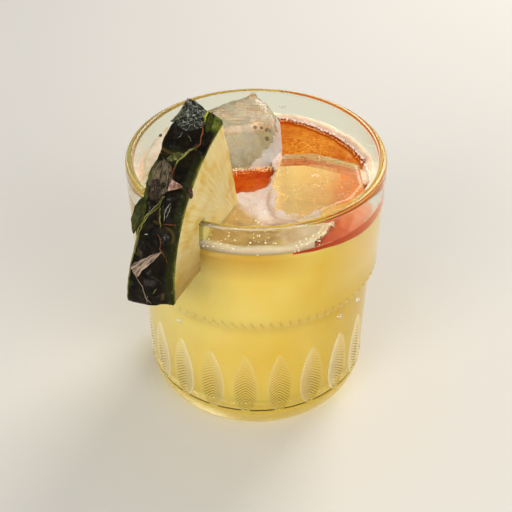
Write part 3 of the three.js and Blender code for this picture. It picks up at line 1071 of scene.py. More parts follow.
@dataclass
class Hollow:
    """The tumbler's hollow, which its contents fill."""

    floor: float = 9.0
    corner: float = 7.0
    low_radius: float = 36.3
    narrow: Point = (36.8, 43.0)
    step: Point = (38.0, 48.0)
    wide: Point = (39.4, 55.0)
    mouth: Point = (40.1, 89.3)

    def radius(self, height: float) -> float:
        """Radius of the wide upper part at a height."""
        share = (height - self.wide[1]) / (self.mouth[1] - self.wide[1])
        return self.wide[0] + (self.mouth[0] - self.wide[0]) * share

    def wall(self, reach: float, top: float, steps: int = 8) -> list[Point]:
        """Profile of the hollow from its middle up to a height.

        Args:
            reach: How far it is moved out into the glass.
            top: The height that it ends at.
            steps: Rings in each long straight part.

        Returns:
            Radius and height of each ring.
        """
        low, round_from = self.low_radius, self.low_radius - self.corner
        points = path((0, self.floor), ((round_from, self.floor), 3),
                      ((low, self.floor), (low, self.floor + self.corner), 9), (self.narrow, steps),
                      ((self.narrow[0] + 0.1, 46), self.step, 5), ((39.3, 51), self.wide, 6),
                      ((self.radius(top), top), steps))
        return [(r + reach if r else 0.0, z - (reach if z < self.floor + 0.1 else 0)) for r, z in points]


@dataclass
class Tumbler:
    """The pressed tumbler: plain band, notched step, leaf-shaped ribbed flutes and a clear foot."""

    hollow: Hollow
    height: float = 91.0
    rim_radius: float = 43.0
    rim_bottom: float = 89.0
    band_radius: float = 42.1
    body_top: Point = (39.9, 51.0)
    body_radius: float = 39.0
    foot_radius: float = 33.6
    foot_height: float = 9.3
    base_ring: float = 32.0
    base_hollow: float = 0.6
    groove_depth: float = 0.35
    flute_count: int = 21
    first_flute: float = math.radians(-5.4)
    flute_top: float = 36.0
    flute_width: float = 8.3
    flute_depth: float = 0.9
    columns_per_flute: int = 24
    row: float = 0.31
    rib_pitch: float = 1.25
    rib_height: float = 0.1
    rib_slope: float = 0.95
    notch_count: int = 84
    notch_depth: float = 0.55
    notch_bottom: float = 47.4
    notch_top: float = 54.6
    notch_lean: float = 4.4
    outside_from: float = 38.3

    def profile(self) -> list[Point]:
        """The whole wall, from the underside's middle round the rim to the middle of the hollow's floor."""
        ring, flat, foot, body = self.base_ring, self.base_hollow, self.foot_height, self.body_radius
        band, rim, mouth = self.band_radius, self.rim_radius, self.hollow.mouth
        lean = (self.body_top[0] - body) / (self.body_top[1] - foot)
        middle = (body + lean * (self.flute_top + 1 - foot), self.flute_top + 1)
        high = (body + lean * (self.notch_bottom - foot), self.notch_bottom)
        crown = ((rim + mouth[0]) / 2, self.height)
        outside = path(
            (0, flat), ((ring - 1.5, flat), 3), ((ring - 0.5, flat), (ring, 0), 4),
            ((self.foot_radius, 0), 1), ((37.9, 0.4), (body, foot), 10),
            ((body - self.groove_depth - 0.3, foot + 0.5), (body, foot + 1), 4),
            (middle, round((middle[1] - foot - 1) / self.row)), (high, 5),
            ((high[0] + 0.3, 50.2), (band - 0.2, 51.5), 14), ((band, 51.9), (band, 52.4), 4),
            ((band, 55.0), 10), ((rim, 86), 6), ((rim, self.rim_bottom), 2),
            ((rim, self.height), crown, 8), ((mouth[0], self.height), mouth, 8))
        return outside[:-1] + self.hollow.wall(0, mouth[1], 5)[::-1]

    def relief(self, tree: Tree, given: Given) -> Socket:
        """Presses the flutes, their ribs and the notches into the outer wall.

        Args:
            tree: The geometry tree.
            given: Its inputs.

        Returns:
            The pressed wall, with marks for the finish's painted shade and painted glint.
        """
        add, product = tree.add, tree.product
        x, y, z, plan, radius = tree.parts(add("GeometryNodeInputPosition"))
        azimuth = add("Math ARCTAN2", x, product(y, -1.0))

        # How far a point is to the side of its nearest flute, and how far up it
        pitch = add("Math DIVIDE", math.tau, given["Flute Count"])
        turns = add("Math DIVIDE", add("Math SUBTRACT", azimuth, given["First Flute"]), pitch)
        offset = add("Math SUBTRACT", turns, add("Math ROUND", turns))
        apart = add("Math ABSOLUTE", product(offset, pitch, given["Body Radius"]))
        risen = product((z, given["Flute Bottom"], given["Flute Top"]))
        along = product((z, given["Flute Bottom"], given["Flute Top"], -1.0, 1.0))

        # A leaf: pointed at its foot, widest below its middle, and rounder at its top
        swell = product(add("Math POWER", risen, 0.75), math.pi)
        rounded = add("Math MAXIMUM", add("Math SINE", swell), 0.0002)
        fullness = add("Math POWER", rounded, 0.6)
        share = add("Math DIVIDE", apart, product(given["Flute Width"], 0.5, fullness))
        inside = add("Math SUBTRACT", 1.0, product(share, share), use_clamp=True)
        dent = product(fullness, given["Flute Depth"], inside)

        # Chevron ribs, steep at the flute's foot, level and fainter towards its top
        steep = product(given["Rib Slope"], (along, -1.0, 0.6, 1.0, 0.45))
        phase = add("Math MULTIPLY_ADD", apart, steep, z)
        count = add("Math DIVIDE", phase, given["Rib Pitch"])
        edge = add("Math MULTIPLY", inside, 3.5, use_clamp=True)
        strength = product(edge, (along, -0.3, 0.8, 1.0, 0.12))
        rib = product(tree.ridges(count, 3.0), strength)
        dent = add("Math MULTIPLY_ADD", rib, given["Rib Height"], dent)

        # Leaning notches on the sloped step under the band
        level = product((z, given["Notch Bottom"], given["Notch Top"]))
        bell = product(level, add("Math SUBTRACT", 1.0, level))
        bell = add("Math MULTIPLY", bell, 4.0, use_clamp=True)
        turn = product(azimuth, given["Notch Count"])
        lean = add("Math MULTIPLY_ADD", level, given["Notch Lean"], turn)
        notch = product(add("Math MAXIMUM", add("Math COSINE", lean), 0.0), bell)
        dent = add("Math MULTIPLY_ADD", notch, given["Notch Depth"], dent)

        # Only the outer wall moves, inwards
        outer = add("Math GREATER_THAN", radius, given["Outside From"])
        shift = add("VectorMath SCALE", add("VectorMath NORMALIZE", plan), product(dent, outer, -1.0))

        # Marks for the finish, stored before the wall moves: painted shade in the notches, the foot line and
        # the ribs, and a painted glint on the flutes' outlines and edges
        off_line = add("Math ABSOLUTE", add("Math SUBTRACT", z, given["Foot Line"]))
        line = product((off_line, 0.28 * MM, 0.5 * MM, 1.0, 0.0), (apart, 1.0 * MM, 1.8 * MM))
        shade = add("Math MULTIPLY_ADD", add("Math POWER", notch, 4.0), 0.75, line)
        outline = product((share, 0.82, 0.95), (share, 1.0, 1.12, 1.0, 0.0),
                          add("Math LESS_THAN", risen, 0.995), add("Math GREATER_THAN", risen, 0.005))
        haze = add("Math MULTIPLY_ADD", outline, 0.5, product(edge, 0.42))
        marks = {"groove": product(shade, outer), "haze": product(haze, outer), "rib_count": count,
                 "rib_strength": product(strength, outer)}
        marked = given["Geometry"]
        for name, mark in marks.items():
            marked = add("GeometryNodeStoreNamedAttribute", marked, Name=name, Value=mark, data_type="FLOAT",
                         domain="POINT")
        return add("GeometryNodeSetPosition", marked, Offset=shift)

    def build(self) -> Piece:
        """Turns the wall, presses its relief and hands it over."""
        wall = turned("tumbler", self.profile(), self.flute_count * self.columns_per_flute)
        sizes = {
            "Flute Bottom": self.foot_height, "Flute Top": self.flute_top, "Flute Width": self.flute_width,
            "Flute Depth": self.flute_depth, "Rib Pitch": self.rib_pitch, "Rib Height": self.rib_height,
            "Body Radius": self.body_radius, "Notch Depth": self.notch_depth,
            "Notch Bottom": self.notch_bottom, "Notch Top": self.notch_top,
            "Outside From": self.outside_from, "Foot Line": self.foot_height + 0.5}
        grown(wall, "pressed_relief", self.relief, {
            **{name: size * MM for name, size in sizes.items()},
            "Flute Count": float(self.flute_count), "Notch Count": float(self.notch_count),
            "First Flute": self.first_flute, "Rib Slope": self.rib_slope, "Notch Lean": self.notch_lean,
            "Material": PRESSED_GLASS.material()}, smooth=False)
        return finished(wall, Slot.GLASS, "glass")


# Ice

@dataclass
class IceBlock:
    """One block of ice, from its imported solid: fine, slightly melted and uneven."""

    node: str
    name: str
    finish: Finish
    voxel: float = 0.6
    smoothing: int = 3
    lump: float = 9.0
    lump_height: float = 0.35
    ripple: float = 2.4
    ripple_height: float = 0.07
    ridge_pitch: float = 0.0
    ridge_height: float = 0.13
    melted: float = 0.12
    seed: float = 1.0
    banded_edge: tuple[Point, ...] = ()
    banded_from: float = 82.8

    def unevenness(self, place: Vector, normal: Vector) -> float:
        """How far the surface stands in or out.

        Args:
            place: A place on it.
            normal: Its normal there.

        Returns:
            The distance in millimetres.
        """
        wave = self.lump_height * waviness(place, self.lump, self.seed)
        wave += self.ripple_height * waviness(place, self.ripple, self.seed)
        if self.ridge_pitch:
            turn = math.tau * (place.y + 0.7 * waviness(place, 6.0)) / self.ridge_pitch
            wave += (self.ridge_height * math.sin(turn) * max(normal.z, 0) ** 4
                     * (0.6 + waviness(place, 5.0, 3)))
        return wave - self.melted

    def build(self) -> Piece:
        """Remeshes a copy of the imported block, with its loose triangles merged, and roughens it a little."""
        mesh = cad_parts[self.node].data.copy()
        reworked(mesh, lambda work: bmesh.ops.remove_doubles(work, verts=work.verts, dist=0.001 * MM))
        mesh.materials.clear()
        ice = made_object(self.name, mesh)
        remesh = ice.modifiers.new("remesh", "REMESH")
        remesh.mode = "VOXEL"
        remesh.voxel_size = self.voxel * MM
        smooth = ice.modifiers.new("smooth", "SMOOTH")
        smooth.factor = 0.5
        smooth.iterations = self.smoothing
        baked(ice)
        ice.data.shade_smooth()
        moved(ice, self.unevenness)
        if self.banded_edge:
            places = [v.co / MM for v in ice.data.vertices]
            set_values(ice, from_edge=[line_distance(x, y, self.banded_edge) if z > self.banded_from else 0.0
                                       for x, y, z in places])
        return finished(ice, Slot.ICE, self.node, finish=self.finish)


# Drink, foam and orange

@dataclass
class Drink:
    """The cloudy drink, up to its level, with hollows where the ice stands in it."""

    hollow: Hollow
    top: float = 80.0
    reach: float = 0.2
    rise: float = 0.3
    gap: float = 0.2
    sides: int = 192

    def build(self, ice: Sequence[Piece]) -> None:
        """Turns the drink and cuts the ice out of it, a little small so that no air shows round it.

        Args:
            ice: The blocks of ice, in the order back, right, left.
        """
        profile = self.hollow.wall(self.reach, self.top + self.rise)
        outer = profile[-1][0]
        profile += path((outer - 0.2, self.top + self.rise),
                        ((outer - 1.8 + 0.8, self.top), (outer - 1.8, self.top), 4), ((0, self.top), 12))
        drink = turned("cocktail", profile, self.sides)
        cut(drink, shrunk_copies(ice, self.gap))
        drink.data.shade_smooth()
        finished(drink, Slot.DRINK, "drink", finish=COCKTAIL)


def balls(tree: Tree, points: Socket, size: Socket) -> Socket:
    """Sets a ball of a size at each point."""
    ball = tree.add("GeometryNodeMeshIcoSphere", Radius=1.0, Subdivisions=2)
    return tree.add("GeometryNodeInstanceOnPoints", points, Instance=ball, Scale=size)


@dataclass
class Foam:
    """The foam: a thin bubbly layer that thins out over the orange, and its loose larger bubbles."""

    hollow: Hollow
    low: float = 79.6
    wall_low: float = 80.35
    top: float = 82.3
    ripple: float = 0.25
    meniscus: float = 0.5
    reach: float = 0.25
    gap_to_ice: float = 0.15
    rings: int = 104
    sides: int = 336
    opened: float = 80.0
    openings: tuple[tuple[Point, ...], ...] = (
        ((-9, 7.4), (-7.6, -3.7), (-6.5, -10.6), (-1.4, -8.8), (3.2, -5.6), (4.8, -0.4), (5.0, 3.2),
         (3.9, 6.9), (0, 7.6)),
        ((9, 13), (12.5, 8), (35.2, 4), (37.0, 9.3), (33.2, 17.7), (27.7, 25.4), (20.0, 32.2), (13.0, 35.9),
         (8, 37.4), (7, 30)),
        ((27, -21.5), (17.5, -36.0), (25, -32.0), (31.2, -26.4), (35.3, -20.2), (38.2, -13.6), (39.6, -7.8),
         (36, -4.5), (34, -12), (30, -17)),
    )

    def gap(self, x: float, y: float) -> float:
        """How far inside the nearest ragged opening a place on the plan is, in millimetres."""
        ragged = 0.8 * waviness((x, y, 7), 3.2) + 0.5 * waviness((x, y, 9), 1.3)
        return max(inside_distance(x, y, corners) for corners in self.openings) + ragged

    def veil(self, x: float, y: float) -> float:
        """How thin the froth is at a spot: it fades out over a wider strip round the middle opening."""
        strip = 1.3 + 1.1 * ramped(math.hypot(x, y), 14.0, 10.0)
        return ramped(self.gap(x, y), -strip, 0.7)

    def surface(self, x: float, y: float) -> float:
        """Height of the foam's top.

        Args:
            x: A place's x.
            y: A place's y.

        Returns:
            The height in millimetres.
        """
        outer = self.hollow.radius(self.top)
        wave = math.sin(x * 0.41 + 1) * math.cos(y * 0.33) + math.sin(y * 0.23 + x * 0.13)
        height = self.top + self.ripple * wave + self.meniscus * (math.hypot(x, y) / outer) ** 12
        height += 0.22 * waviness((x, y, 0), 2.6) + 0.1 * waviness((x, y, 3), 1.1)
        return height + (self.opened - height) * ramped(self.gap(x, y), -1.4, 1.0)

    def layer(self) -> Piece:
        """The foam's own layer before the ice is cut out of it."""
        outer = self.hollow.radius(self.top) + self.reach
        profile = [(0.0, self.low), (outer - 2, self.low), (outer, self.wall_low)]
        profile += [(outer * i / self.rings, self.top) for i in range(self.rings, -1, -1)]
        layer = turned("foam_layer", profile, self.sides)
        for vertex in layer.data.vertices:
            x, y, z = vertex.co / MM
            if z > self.low + 0.1:
                top = self.surface(x, y)
                vertex.co.z = (top if z > self.wall_low + 0.5 else min(z, top - 0.15)) * MM
        return layer

    def bubbles(self, tree: Tree, given: Given) -> Socket:
        """Scatters bubbles over the upward faces of a piece.

        Args:
            tree: The geometry tree.
            given: Its inputs.

        Returns:
            The bubbles.
        """
        add = tree.add
        place = add("GeometryNodeInputPosition")
        upward = add("SeparateXYZ", add("GeometryNodeInputNormal"), out="Z")
        height = add("SeparateXYZ", place, out="Z")
        facing = add("FunctionNodeCompare GREATER_THAN", upward, 0.3)
        above = add("FunctionNodeCompare GREATER_THAN", height, given["Lowest"])
        under = add("FunctionNodeCompare LESS_THAN", height, given["Highest"])
        wanted = add("FunctionNodeBooleanMath AND", add("FunctionNodeBooleanMath AND", facing, above), under)
        patches = tree.product((add("TexNoise", place, 1 / (6 * MM)), 0.42, 0.62))
        density = tree.product(add("Math MAXIMUM", patches, given["Evenness"]), given["Density"])
        points = add("GeometryNodeDistributePointsOnFaces", given["Geometry"], Selection=wanted,
                     Density=density, Seed=given["Seed"], distribute_method="RANDOM")
        small = add("Math POWER", add("FunctionNodeRandomValue", Seed=given["Seed"]), 3.0)
        return balls(tree, points, tree.product((small, 0.0, 1.0, given["Smallest"], given["Largest"])))

    def build(self, ice: Sequence[Piece]) -> None:
        """Makes the layer, cuts the ice out of it and scatters bubbles on it and on the right block.

        Args:
            ice: The blocks of ice, in the order back, right, left.
        """
        layer = self.layer()
        cut(layer, shrunk_copies(ice, self.gap_to_ice))
        layer.data.shade_smooth()
        set_values(layer, veil=[self.veil(v.co.x / MM, v.co.y / MM) for v in layer.data.vertices])
        finished(layer, Slot.FOAM, "foam", finish=FOAM)
        for name, ground, density, smallest, largest, lowest, evenness, seed in (
                ("foam_bubbles", layer, 7e5, 0.08, 0.38, 81.2, 0.06, 4),
                ("ice_top_bubbles", ice[1], 4e5, 0.06, 0.18, 82.6, 0.02, 6)):
            bubbles = grown(made_object(name, ground.data.copy()), "loose_bubbles", self.bubbles, {
                "Density": density, "Smallest": smallest * MM, "Largest": largest * MM,
                "Lowest": lowest * MM, "Highest": 90 * MM, "Evenness": evenness, "Seed": seed,
                "Material": FROTH.material()})
            finished(bubbles, Slot.FOAM)


@dataclass
class FoamFilm:
    """Thin froth that has crept up a block of ice, as a shell just off the ice."""

    name: str
    cover: Callable[[Vector], float]
    lift: float = 0.06
    thickness: float = 0.15
    lowest: float = 80.8

    def is_bare(self, face: bmesh.types.BMFace) -> bool:
        """Whether no froth reaches a face of the block."""
        return min(self.cover(v.co / MM) if v.co.z > self.lowest * MM else 1.0 for v in face.verts) >= 1.0

    def build(self, block_of_ice: Piece) -> None:
        """Copies a block's surface where the froth reaches it, and gives it a thickness.

        Args:
            block_of_ice: The block.
        """
        film = moved(made_object(self.name, block_of_ice.data.copy()), lambda place, normal: self.lift)
        reworked(film.data, lambda work: bmesh.ops.delete(
            work, geom=[face for face in work.faces if self.is_bare(face)], context="FACES"))
        shell = film.modifiers.new("shell", "SOLIDIFY")
        shell.thickness = self.thickness * MM
        shell.offset = 1.0
        baked(film)
        set_values(film, veil=[self.cover(v.co / MM) for v in film.data.vertices])
        finished(film, Slot.FOAM, finish=FOAM)


def cover_right(place: Vector) -> float:
    """Veil of the froth along the front and left edges of the right block, 0 where it is thick."""
    x, y, _ = place
    nearest = line_distance(x, y, ((3.2, -10.0), (3.2, -24.4), (13.6, -30.0), (19.0, -26.2)))
    return ramped(nearest + 2.2 * waviness((x, y, 4), 3.5) + 1.0 * waviness((x, y, 8), 1.2), 0.6, 5.0)


def cover_back(place: Vector) -> float:
    """Veil of the froth that climbs the front right corner of the back block."""
    x, y, z = place
    limit = 81.0 + (3.5 + 0.5 * x) * ramped(x, -3.5, 0.5)
    return ramped(z - limit + 1.3 * waviness((x, y, z), 2.8) + 0.7 * waviness((x, y, z), 1.1), -2.2, 1.4)


@dataclass(frozen=True)
class BeadRow:
    """A row of froth bubbles along a line of points."""

    finish: Finish
    spacing: float
    largest: float
    points: tuple[Place, ...]


@dataclass
class Beads:
    """Rows of bubbles along the edges of the ice, the orange and the wall."""

    rows: tuple[BeadRow, ...] = (
        BeadRow(FROTH, 0.55, 0.3, ((8.6, 38.6, 82.0), (14.0, 36.6, 81.9), (20.2, 32.4, 81.8),
            (26.6, 26.6, 81.8), (32.6, 19.4, 81.8), (36.6, 11.0, 81.8))),
        BeadRow(FROTH, 0.5, 0.26, ((-8.4, 3.4, 81.2), (-5.2, 3.6, 81.2), (-1.5, 4.6, 81.1),
            (2.0, 5.4, 81.1), (5.2, 6.2, 81.2))),
        BeadRow(GOLD_FROTH, 0.34, 0.34, ((-7.9, 5.2, 80.85), (-5.5, 5.8, 80.85), (-2.1, 6.0, 80.85),
            (1.3, 6.0, 80.85), (4.6, 6.0, 80.85))),
        BeadRow(GOLD_FROTH, 0.36, 0.32, ((-7.8, 4.0, 80.75), (-5.5, 4.8, 80.75), (-2.1, 5.2, 80.75),
            (1.3, 5.3, 80.75), (4.6, 5.2, 80.75))),
        BeadRow(PEACH_FROTH, 0.3, 0.34, ((8.4, 36.6, 80.9), (13.0, 35.2, 80.9), (19.8, 31.6, 80.8),
            (27.2, 25.0, 80.8), (32.6, 17.4, 80.8), (36.2, 9.4, 80.8))),
        BeadRow(FROTH, 0.36, 0.36, ((8.4, 37.4, 81.6), (13.4, 35.9, 81.6), (20.2, 32.3, 81.5),
            (27.9, 25.4, 81.5), (33.4, 17.6, 81.5), (37.0, 9.4, 81.5))),
        BeadRow(FROTH, 0.5, 0.42, ((35.6, 6.5, 82.6), (37.4, 1.5, 82.8), (37.6, -5.0, 82.7),
            (35.8, -10.0, 82.4))),
        BeadRow(GOLD_FROTH, 0.34, 0.2, ((8.8, 8.0, 83.8), (7.8, 3.0, 83.8), (6.4, -4.0, 83.8),
            (5.2, -12.0, 83.9), (4.8, -19.0, 83.9))),
        BeadRow(GOLD_FROTH, 0.5, 0.28, ((-7.8, 2.8, 80.7), (-5.5, 3.8, 80.7), (-2.1, 4.3, 80.7),
            (1.3, 4.5, 80.7), (4.6, 4.4, 80.7))),
        BeadRow(GOLD_FROTH, 0.5, 0.18, ((-7.8, 1.6, 80.6), (-5.5, 2.6, 80.6), (-2.1, 3.2, 80.6),
            (1.3, 3.7, 80.6), (4.6, 3.9, 80.6))),
        BeadRow(GOLD_FROTH, 0.42, 0.16, ((7.0, -13.6, 84.0), (8.8, -14.7, 84.0), (10.8, -15.3, 84.0))),
        BeadRow(GOLD_FROTH, 0.5, 0.15, ((8.9, -16.9, 84.0), (12.4, -16.4, 84.0), (16.2, -17.5, 84.0))),
        BeadRow(FROTH, 0.4, 0.2, ((-6.5, -13.0, 82.4), (-2.0, -17.0, 82.5), (1.5, -19.5, 82.5),
            (3.5, -22.0, 82.5))),
    )
    wander: float = 0.45

    def strung(self, tree: Tree, given: Given) -> Socket:
        """Sets bubbles of uneven size along a drawn line.

        Args:
            tree: The geometry tree.
            given: Its inputs.

        Returns:
            The bubbles.
        """
        line = tree.add("GeometryNodeMeshToCurve", given["Geometry"])
        points = tree.add("GeometryNodeCurveToPoints", line, Length=given["Spacing"], mode="LENGTH")
        aside = tree.strewn(given["Wander"], 0.0, given["Seed"])
        size = tree.add("FunctionNodeRandomValue", Min=tree.product(given["Largest"], 0.25),
                        Max=given["Largest"], Seed=given["Seed"])
        return balls(tree, tree.add("GeometryNodeSetPosition", points, Offset=aside), size)

    def build(self) -> None:
        """Draws each row's line and strings its bubbles along it."""
        for number, row in enumerate(self.rows, 1):
            edges = [(i, i + 1) for i in range(len(row.points) - 1)]
            piece = grown(made_mesh(f"bead_row_{number}", row.points, [], edges), "bead_rows", self.strung, {
                "Spacing": row.spacing * MM, "Largest": row.largest * MM, "Wander": self.wander * MM,
                "Seed": number, "Material": row.finish.material()})
            finished(piece, Slot.FOAM)


@dataclass
class Drops:
    """Drops or bubbles as one piece: the middle and half sizes of each, and where its third side faces."""

    name: str
    finish: Finish
    slot: Slot
    drops: tuple[tuple[Place, Place, Place], ...]

    def squeezed(self, work: bmesh.types.BMesh) -> None:
        """Adds a squeezed sphere for each drop.

        Args:
            work: The mesh that they go into.
        """
        for middle, half, facing in self.drops:
            turn = Vector(facing).to_track_quat("Z", "Y").to_matrix().to_4x4()
            size = Matrix.Diagonal((*[h * MM for h in half], 1.0))
            where = Matrix.Translation([c * MM for c in middle])
            bmesh.ops.create_icosphere(work, subdivisions=3, radius=1.0, matrix=where @ turn @ size)

    def build(self) -> None:
        """Makes the drops."""
        mesh = bpy.data.meshes.new(self.name)
        reworked(mesh, self.squeezed)
        mesh.shade_smooth()
        finished(made_object(self.name, mesh), self.slot, finish=self.finish)


UP = (0.0, 0.0, 1.0)
DROPS = (
    Drops("wall_drops", WATER, Slot.GLASS, (
        ((34.7, -20.4, 44.4), (1.0, 1.0, 0.75), (0.863, -0.506, 0.0)),
        ((28.0, -29.0, 44.5), (1.05, 1.05, 0.75), (0.695, -0.719, 0.0)),
        ((-25.7, -31.1, 44.5), (0.8, 0.9, 0.6), (-0.637, -0.771, 0.0)),
        ((8.9, 39.0, 85.0), (0.8, 0.6, 0.4), (-0.22, -0.975, 0.0)),
        ((10.3, 38.7, 85.4), (0.4, 0.4, 0.3), (-0.26, -0.966, 0.0)))),
    # Pale beads set on the wall drops as painted highlights
    Drops("drop_glints", FROTH, Slot.GLASS, (
        ((34.9, -20.9, 45.0), (0.35, 0.3, 0.25), (0.863, -0.506, 0.0)),
        ((28.0, -29.6, 45.1), (0.4, 0.3, 0.25), (0.695, -0.719, 0.0)),
        ((-26.2, -31.2, 45.0), (0.3, 0.3, 0.25), (-0.637, -0.771, 0.0)))),
    Drops("ice_air_bubbles", TRAPPED_AIR, Slot.ICE, (
        ((-0.4, 13.5, 92.0), (0.8, 0.6, 0.4), (0.5, -0.7, 0.5)),
        ((3.6, 14.9, 90.2), (0.9, 0.7, 0.4), (0.44, -0.57, 0.69)),
        ((3.6, 12.7, 88.0), (0.8, 0.9, 0.4), (0.39, -0.52, 0.76)),
        ((4.6, 15.4, 89.3), (0.7, 0.5, 0.3), (0.7, -0.4, 0.6)),
        ((-1.5, 11.7, 90.2), (0.7, 0.6, 0.3), (0.3, -0.7, 0.6)),
        ((1.7, 14.5, 91.2), (0.6, 0.5, 0.3), (0.4, -0.7, 0.6)))),
    Drops("ice_pit", ICE_PIT, Slot.ICE, (((-32.7, 15.9, 87.35), (0.6, 1.1, 0.25), UP),)),
    Drops("ice_sparkle", FROTH, Slot.ICE, (
        ((18.6, -3.8, 84.1), (0.4, 0.4, 0.3), UP),
        ((19.4, -3.2, 84.1), (0.3, 0.3, 0.25), UP),
        ((20.1, -4.0, 84.1), (0.3, 0.3, 0.2), UP))),
)


@dataclass
class OrangeSlice:
    """The half slice of orange lying just under the foam, cut round the ice."""

    hollow: Hollow
    top: float = 80.3
    thickness: float = 4.4
    reach: float = 0.35
    edge: float = 0.25
    cut_distance: float = -11.9
    cut_angle: float = math.radians(33.1)
    back_end: float = 7.0
    back_start: float = 6.0
    far: float = 60.0
    rings: int = 84
    sides: int = 288
    vesicle: float = 2.2
    vesicle_height: float = 0.16
    thin: Point = (math.radians(15), math.radians(62))
    thin_end: float = 0.2
    thick_end: float = 0.88
    ice_gap: float = 0.35
    side_gap: Place = (-2.5, -0.6, 0.0)

    def taper(self, place: Vector) -> float:
        """Share of its full thickness that the slice has at a place.

        Args:
            place: The place.

        Returns:
            The share, which falls to the slice's front end.
        """
        azimuth = math.atan2(place.x, -place.y)
        share = self.thin_end + (self.thick_end - self.thin_end) * ramped(azimuth, *self.thin)
        share += 0.06 * waviness((azimuth * 40, 0, 0), 5.0)
        if 0 < azimuth < self.thin[1]:
            return share
        return max(share, self.thick_end if azimuth > 0 else self.thin_end)

    def slab(self, name: str, corners: Sequence[Point]) -> Piece:
        """A helper slab, from below the slice to above it.

        Args:
            name: Its name.
            corners: Its plan.

        Returns:
            The slab.
        """
        low, high = self.top - self.thickness - 3, self.top + 3
        count = len(corners)
        points = [(x, y, z) for z in (low, high) for x, y in corners]
        faces = [tuple(range(count)), tuple(range(2 * count - 1, count - 1, -1))]
        faces += [(i, (i + 1) % count, count + (i + 1) % count, count + i) for i in range(count)]
        return made_mesh(name, points, faces)

    def build(self, ice: Sequence[Piece]) -> None:
        """Turns the slice, cuts it to its half and round the ice, and raises its vesicles.

        Args:
            ice: The blocks of ice, in the order back, right, left.
        """
        low, top, edge = self.top - self.thickness, self.top, self.edge
        outer = self.hollow.radius(top) + self.reach
        profile = path((0, low), ((outer - edge, low), 10), ((outer, low), (outer, low + edge), 4),
                       ((outer, top - edge), 5), ((outer, top), (outer - edge, top), 4),
                       ((0, top), self.rings))
        half = turned("orange_half_slice", profile, self.sides)
        for vertex in half.data.vertices:
            depth = top - vertex.co.z / MM
            if depth > edge:
                vertex.co.z = (top - max(depth * self.taper(vertex.co), edge + 0.05)) * MM
        far, cos, sin = self.far, math.cos(self.cut_angle), math.sin(self.cut_angle)
        near = self.cut_distance
        beyond = [(cos * out + sin * side, sin * out - cos * side)
                  for out, side in ((near, far), (near, -far), (near - far, -far), (near - far, far))]
        start, end = self.back_start, self.back_end
        behind = [(-far, start), (end, start), (end, far), (-far, far)]
        aside, = shrunk_copies([ice[1]], self.ice_gap)
        aside.data.transform(Matrix.Translation(Vector(self.side_gap) * MM))
        cut(half, [self.slab("beyond", beyond), self.slab("behind", behind),
                   *shrunk_copies(ice, self.ice_gap), aside])
        moved(half, lambda place, normal: (
            self.vesicle_height * waviness(place, self.vesicle) * max(normal.z, 0)))
        half.data.shade_smooth()
        finished(half, Slot.ORANGE, "orange_slice", finish=ORANGE)


# The pineapple wedge

@dataclass(frozen=True)
class Scale:
    """One hard scale of the rind: its middle (angle in degrees, place across), half sizes and height."""

    angle: float
    across: float
    half_length: float
    half_width: float
    height: float
    tilt: float


@dataclass(frozen=True)
class Flake:
    """A bract or flake on the rind. Its root and tip are (angle in degrees, place across, lift)."""

    root: Place
    tip: Place
    width: float
    outline: Outline
    finish: Finish
    crinkle: float
    curl: float
    thickness: float = 0.3
    hugging: float = 0.5

    def fullness(self, t: float) -> float:
        """How wide the flake is.

        Args:
            t: Share of its length.

        Returns:
            Share of its width.
        """
        if self.outline is Outline.LEAF:
            return math.sin(math.pi * (0.04 + 0.95 * t) ** 0.85)
        if self.outline is Outline.TRIANGLE:
            return 0.04 + 0.96 * (1 - t) ** 0.9
        return max(0.05, 1 - abs(2 * t - 1) ** 5)


@dataclass(frozen=True)
class Fibre:
    """A thin raised line on the rind through points given as (angle in degrees, place across)."""

    finish: Finish
    radius: float
    points: tuple[Point, ...]


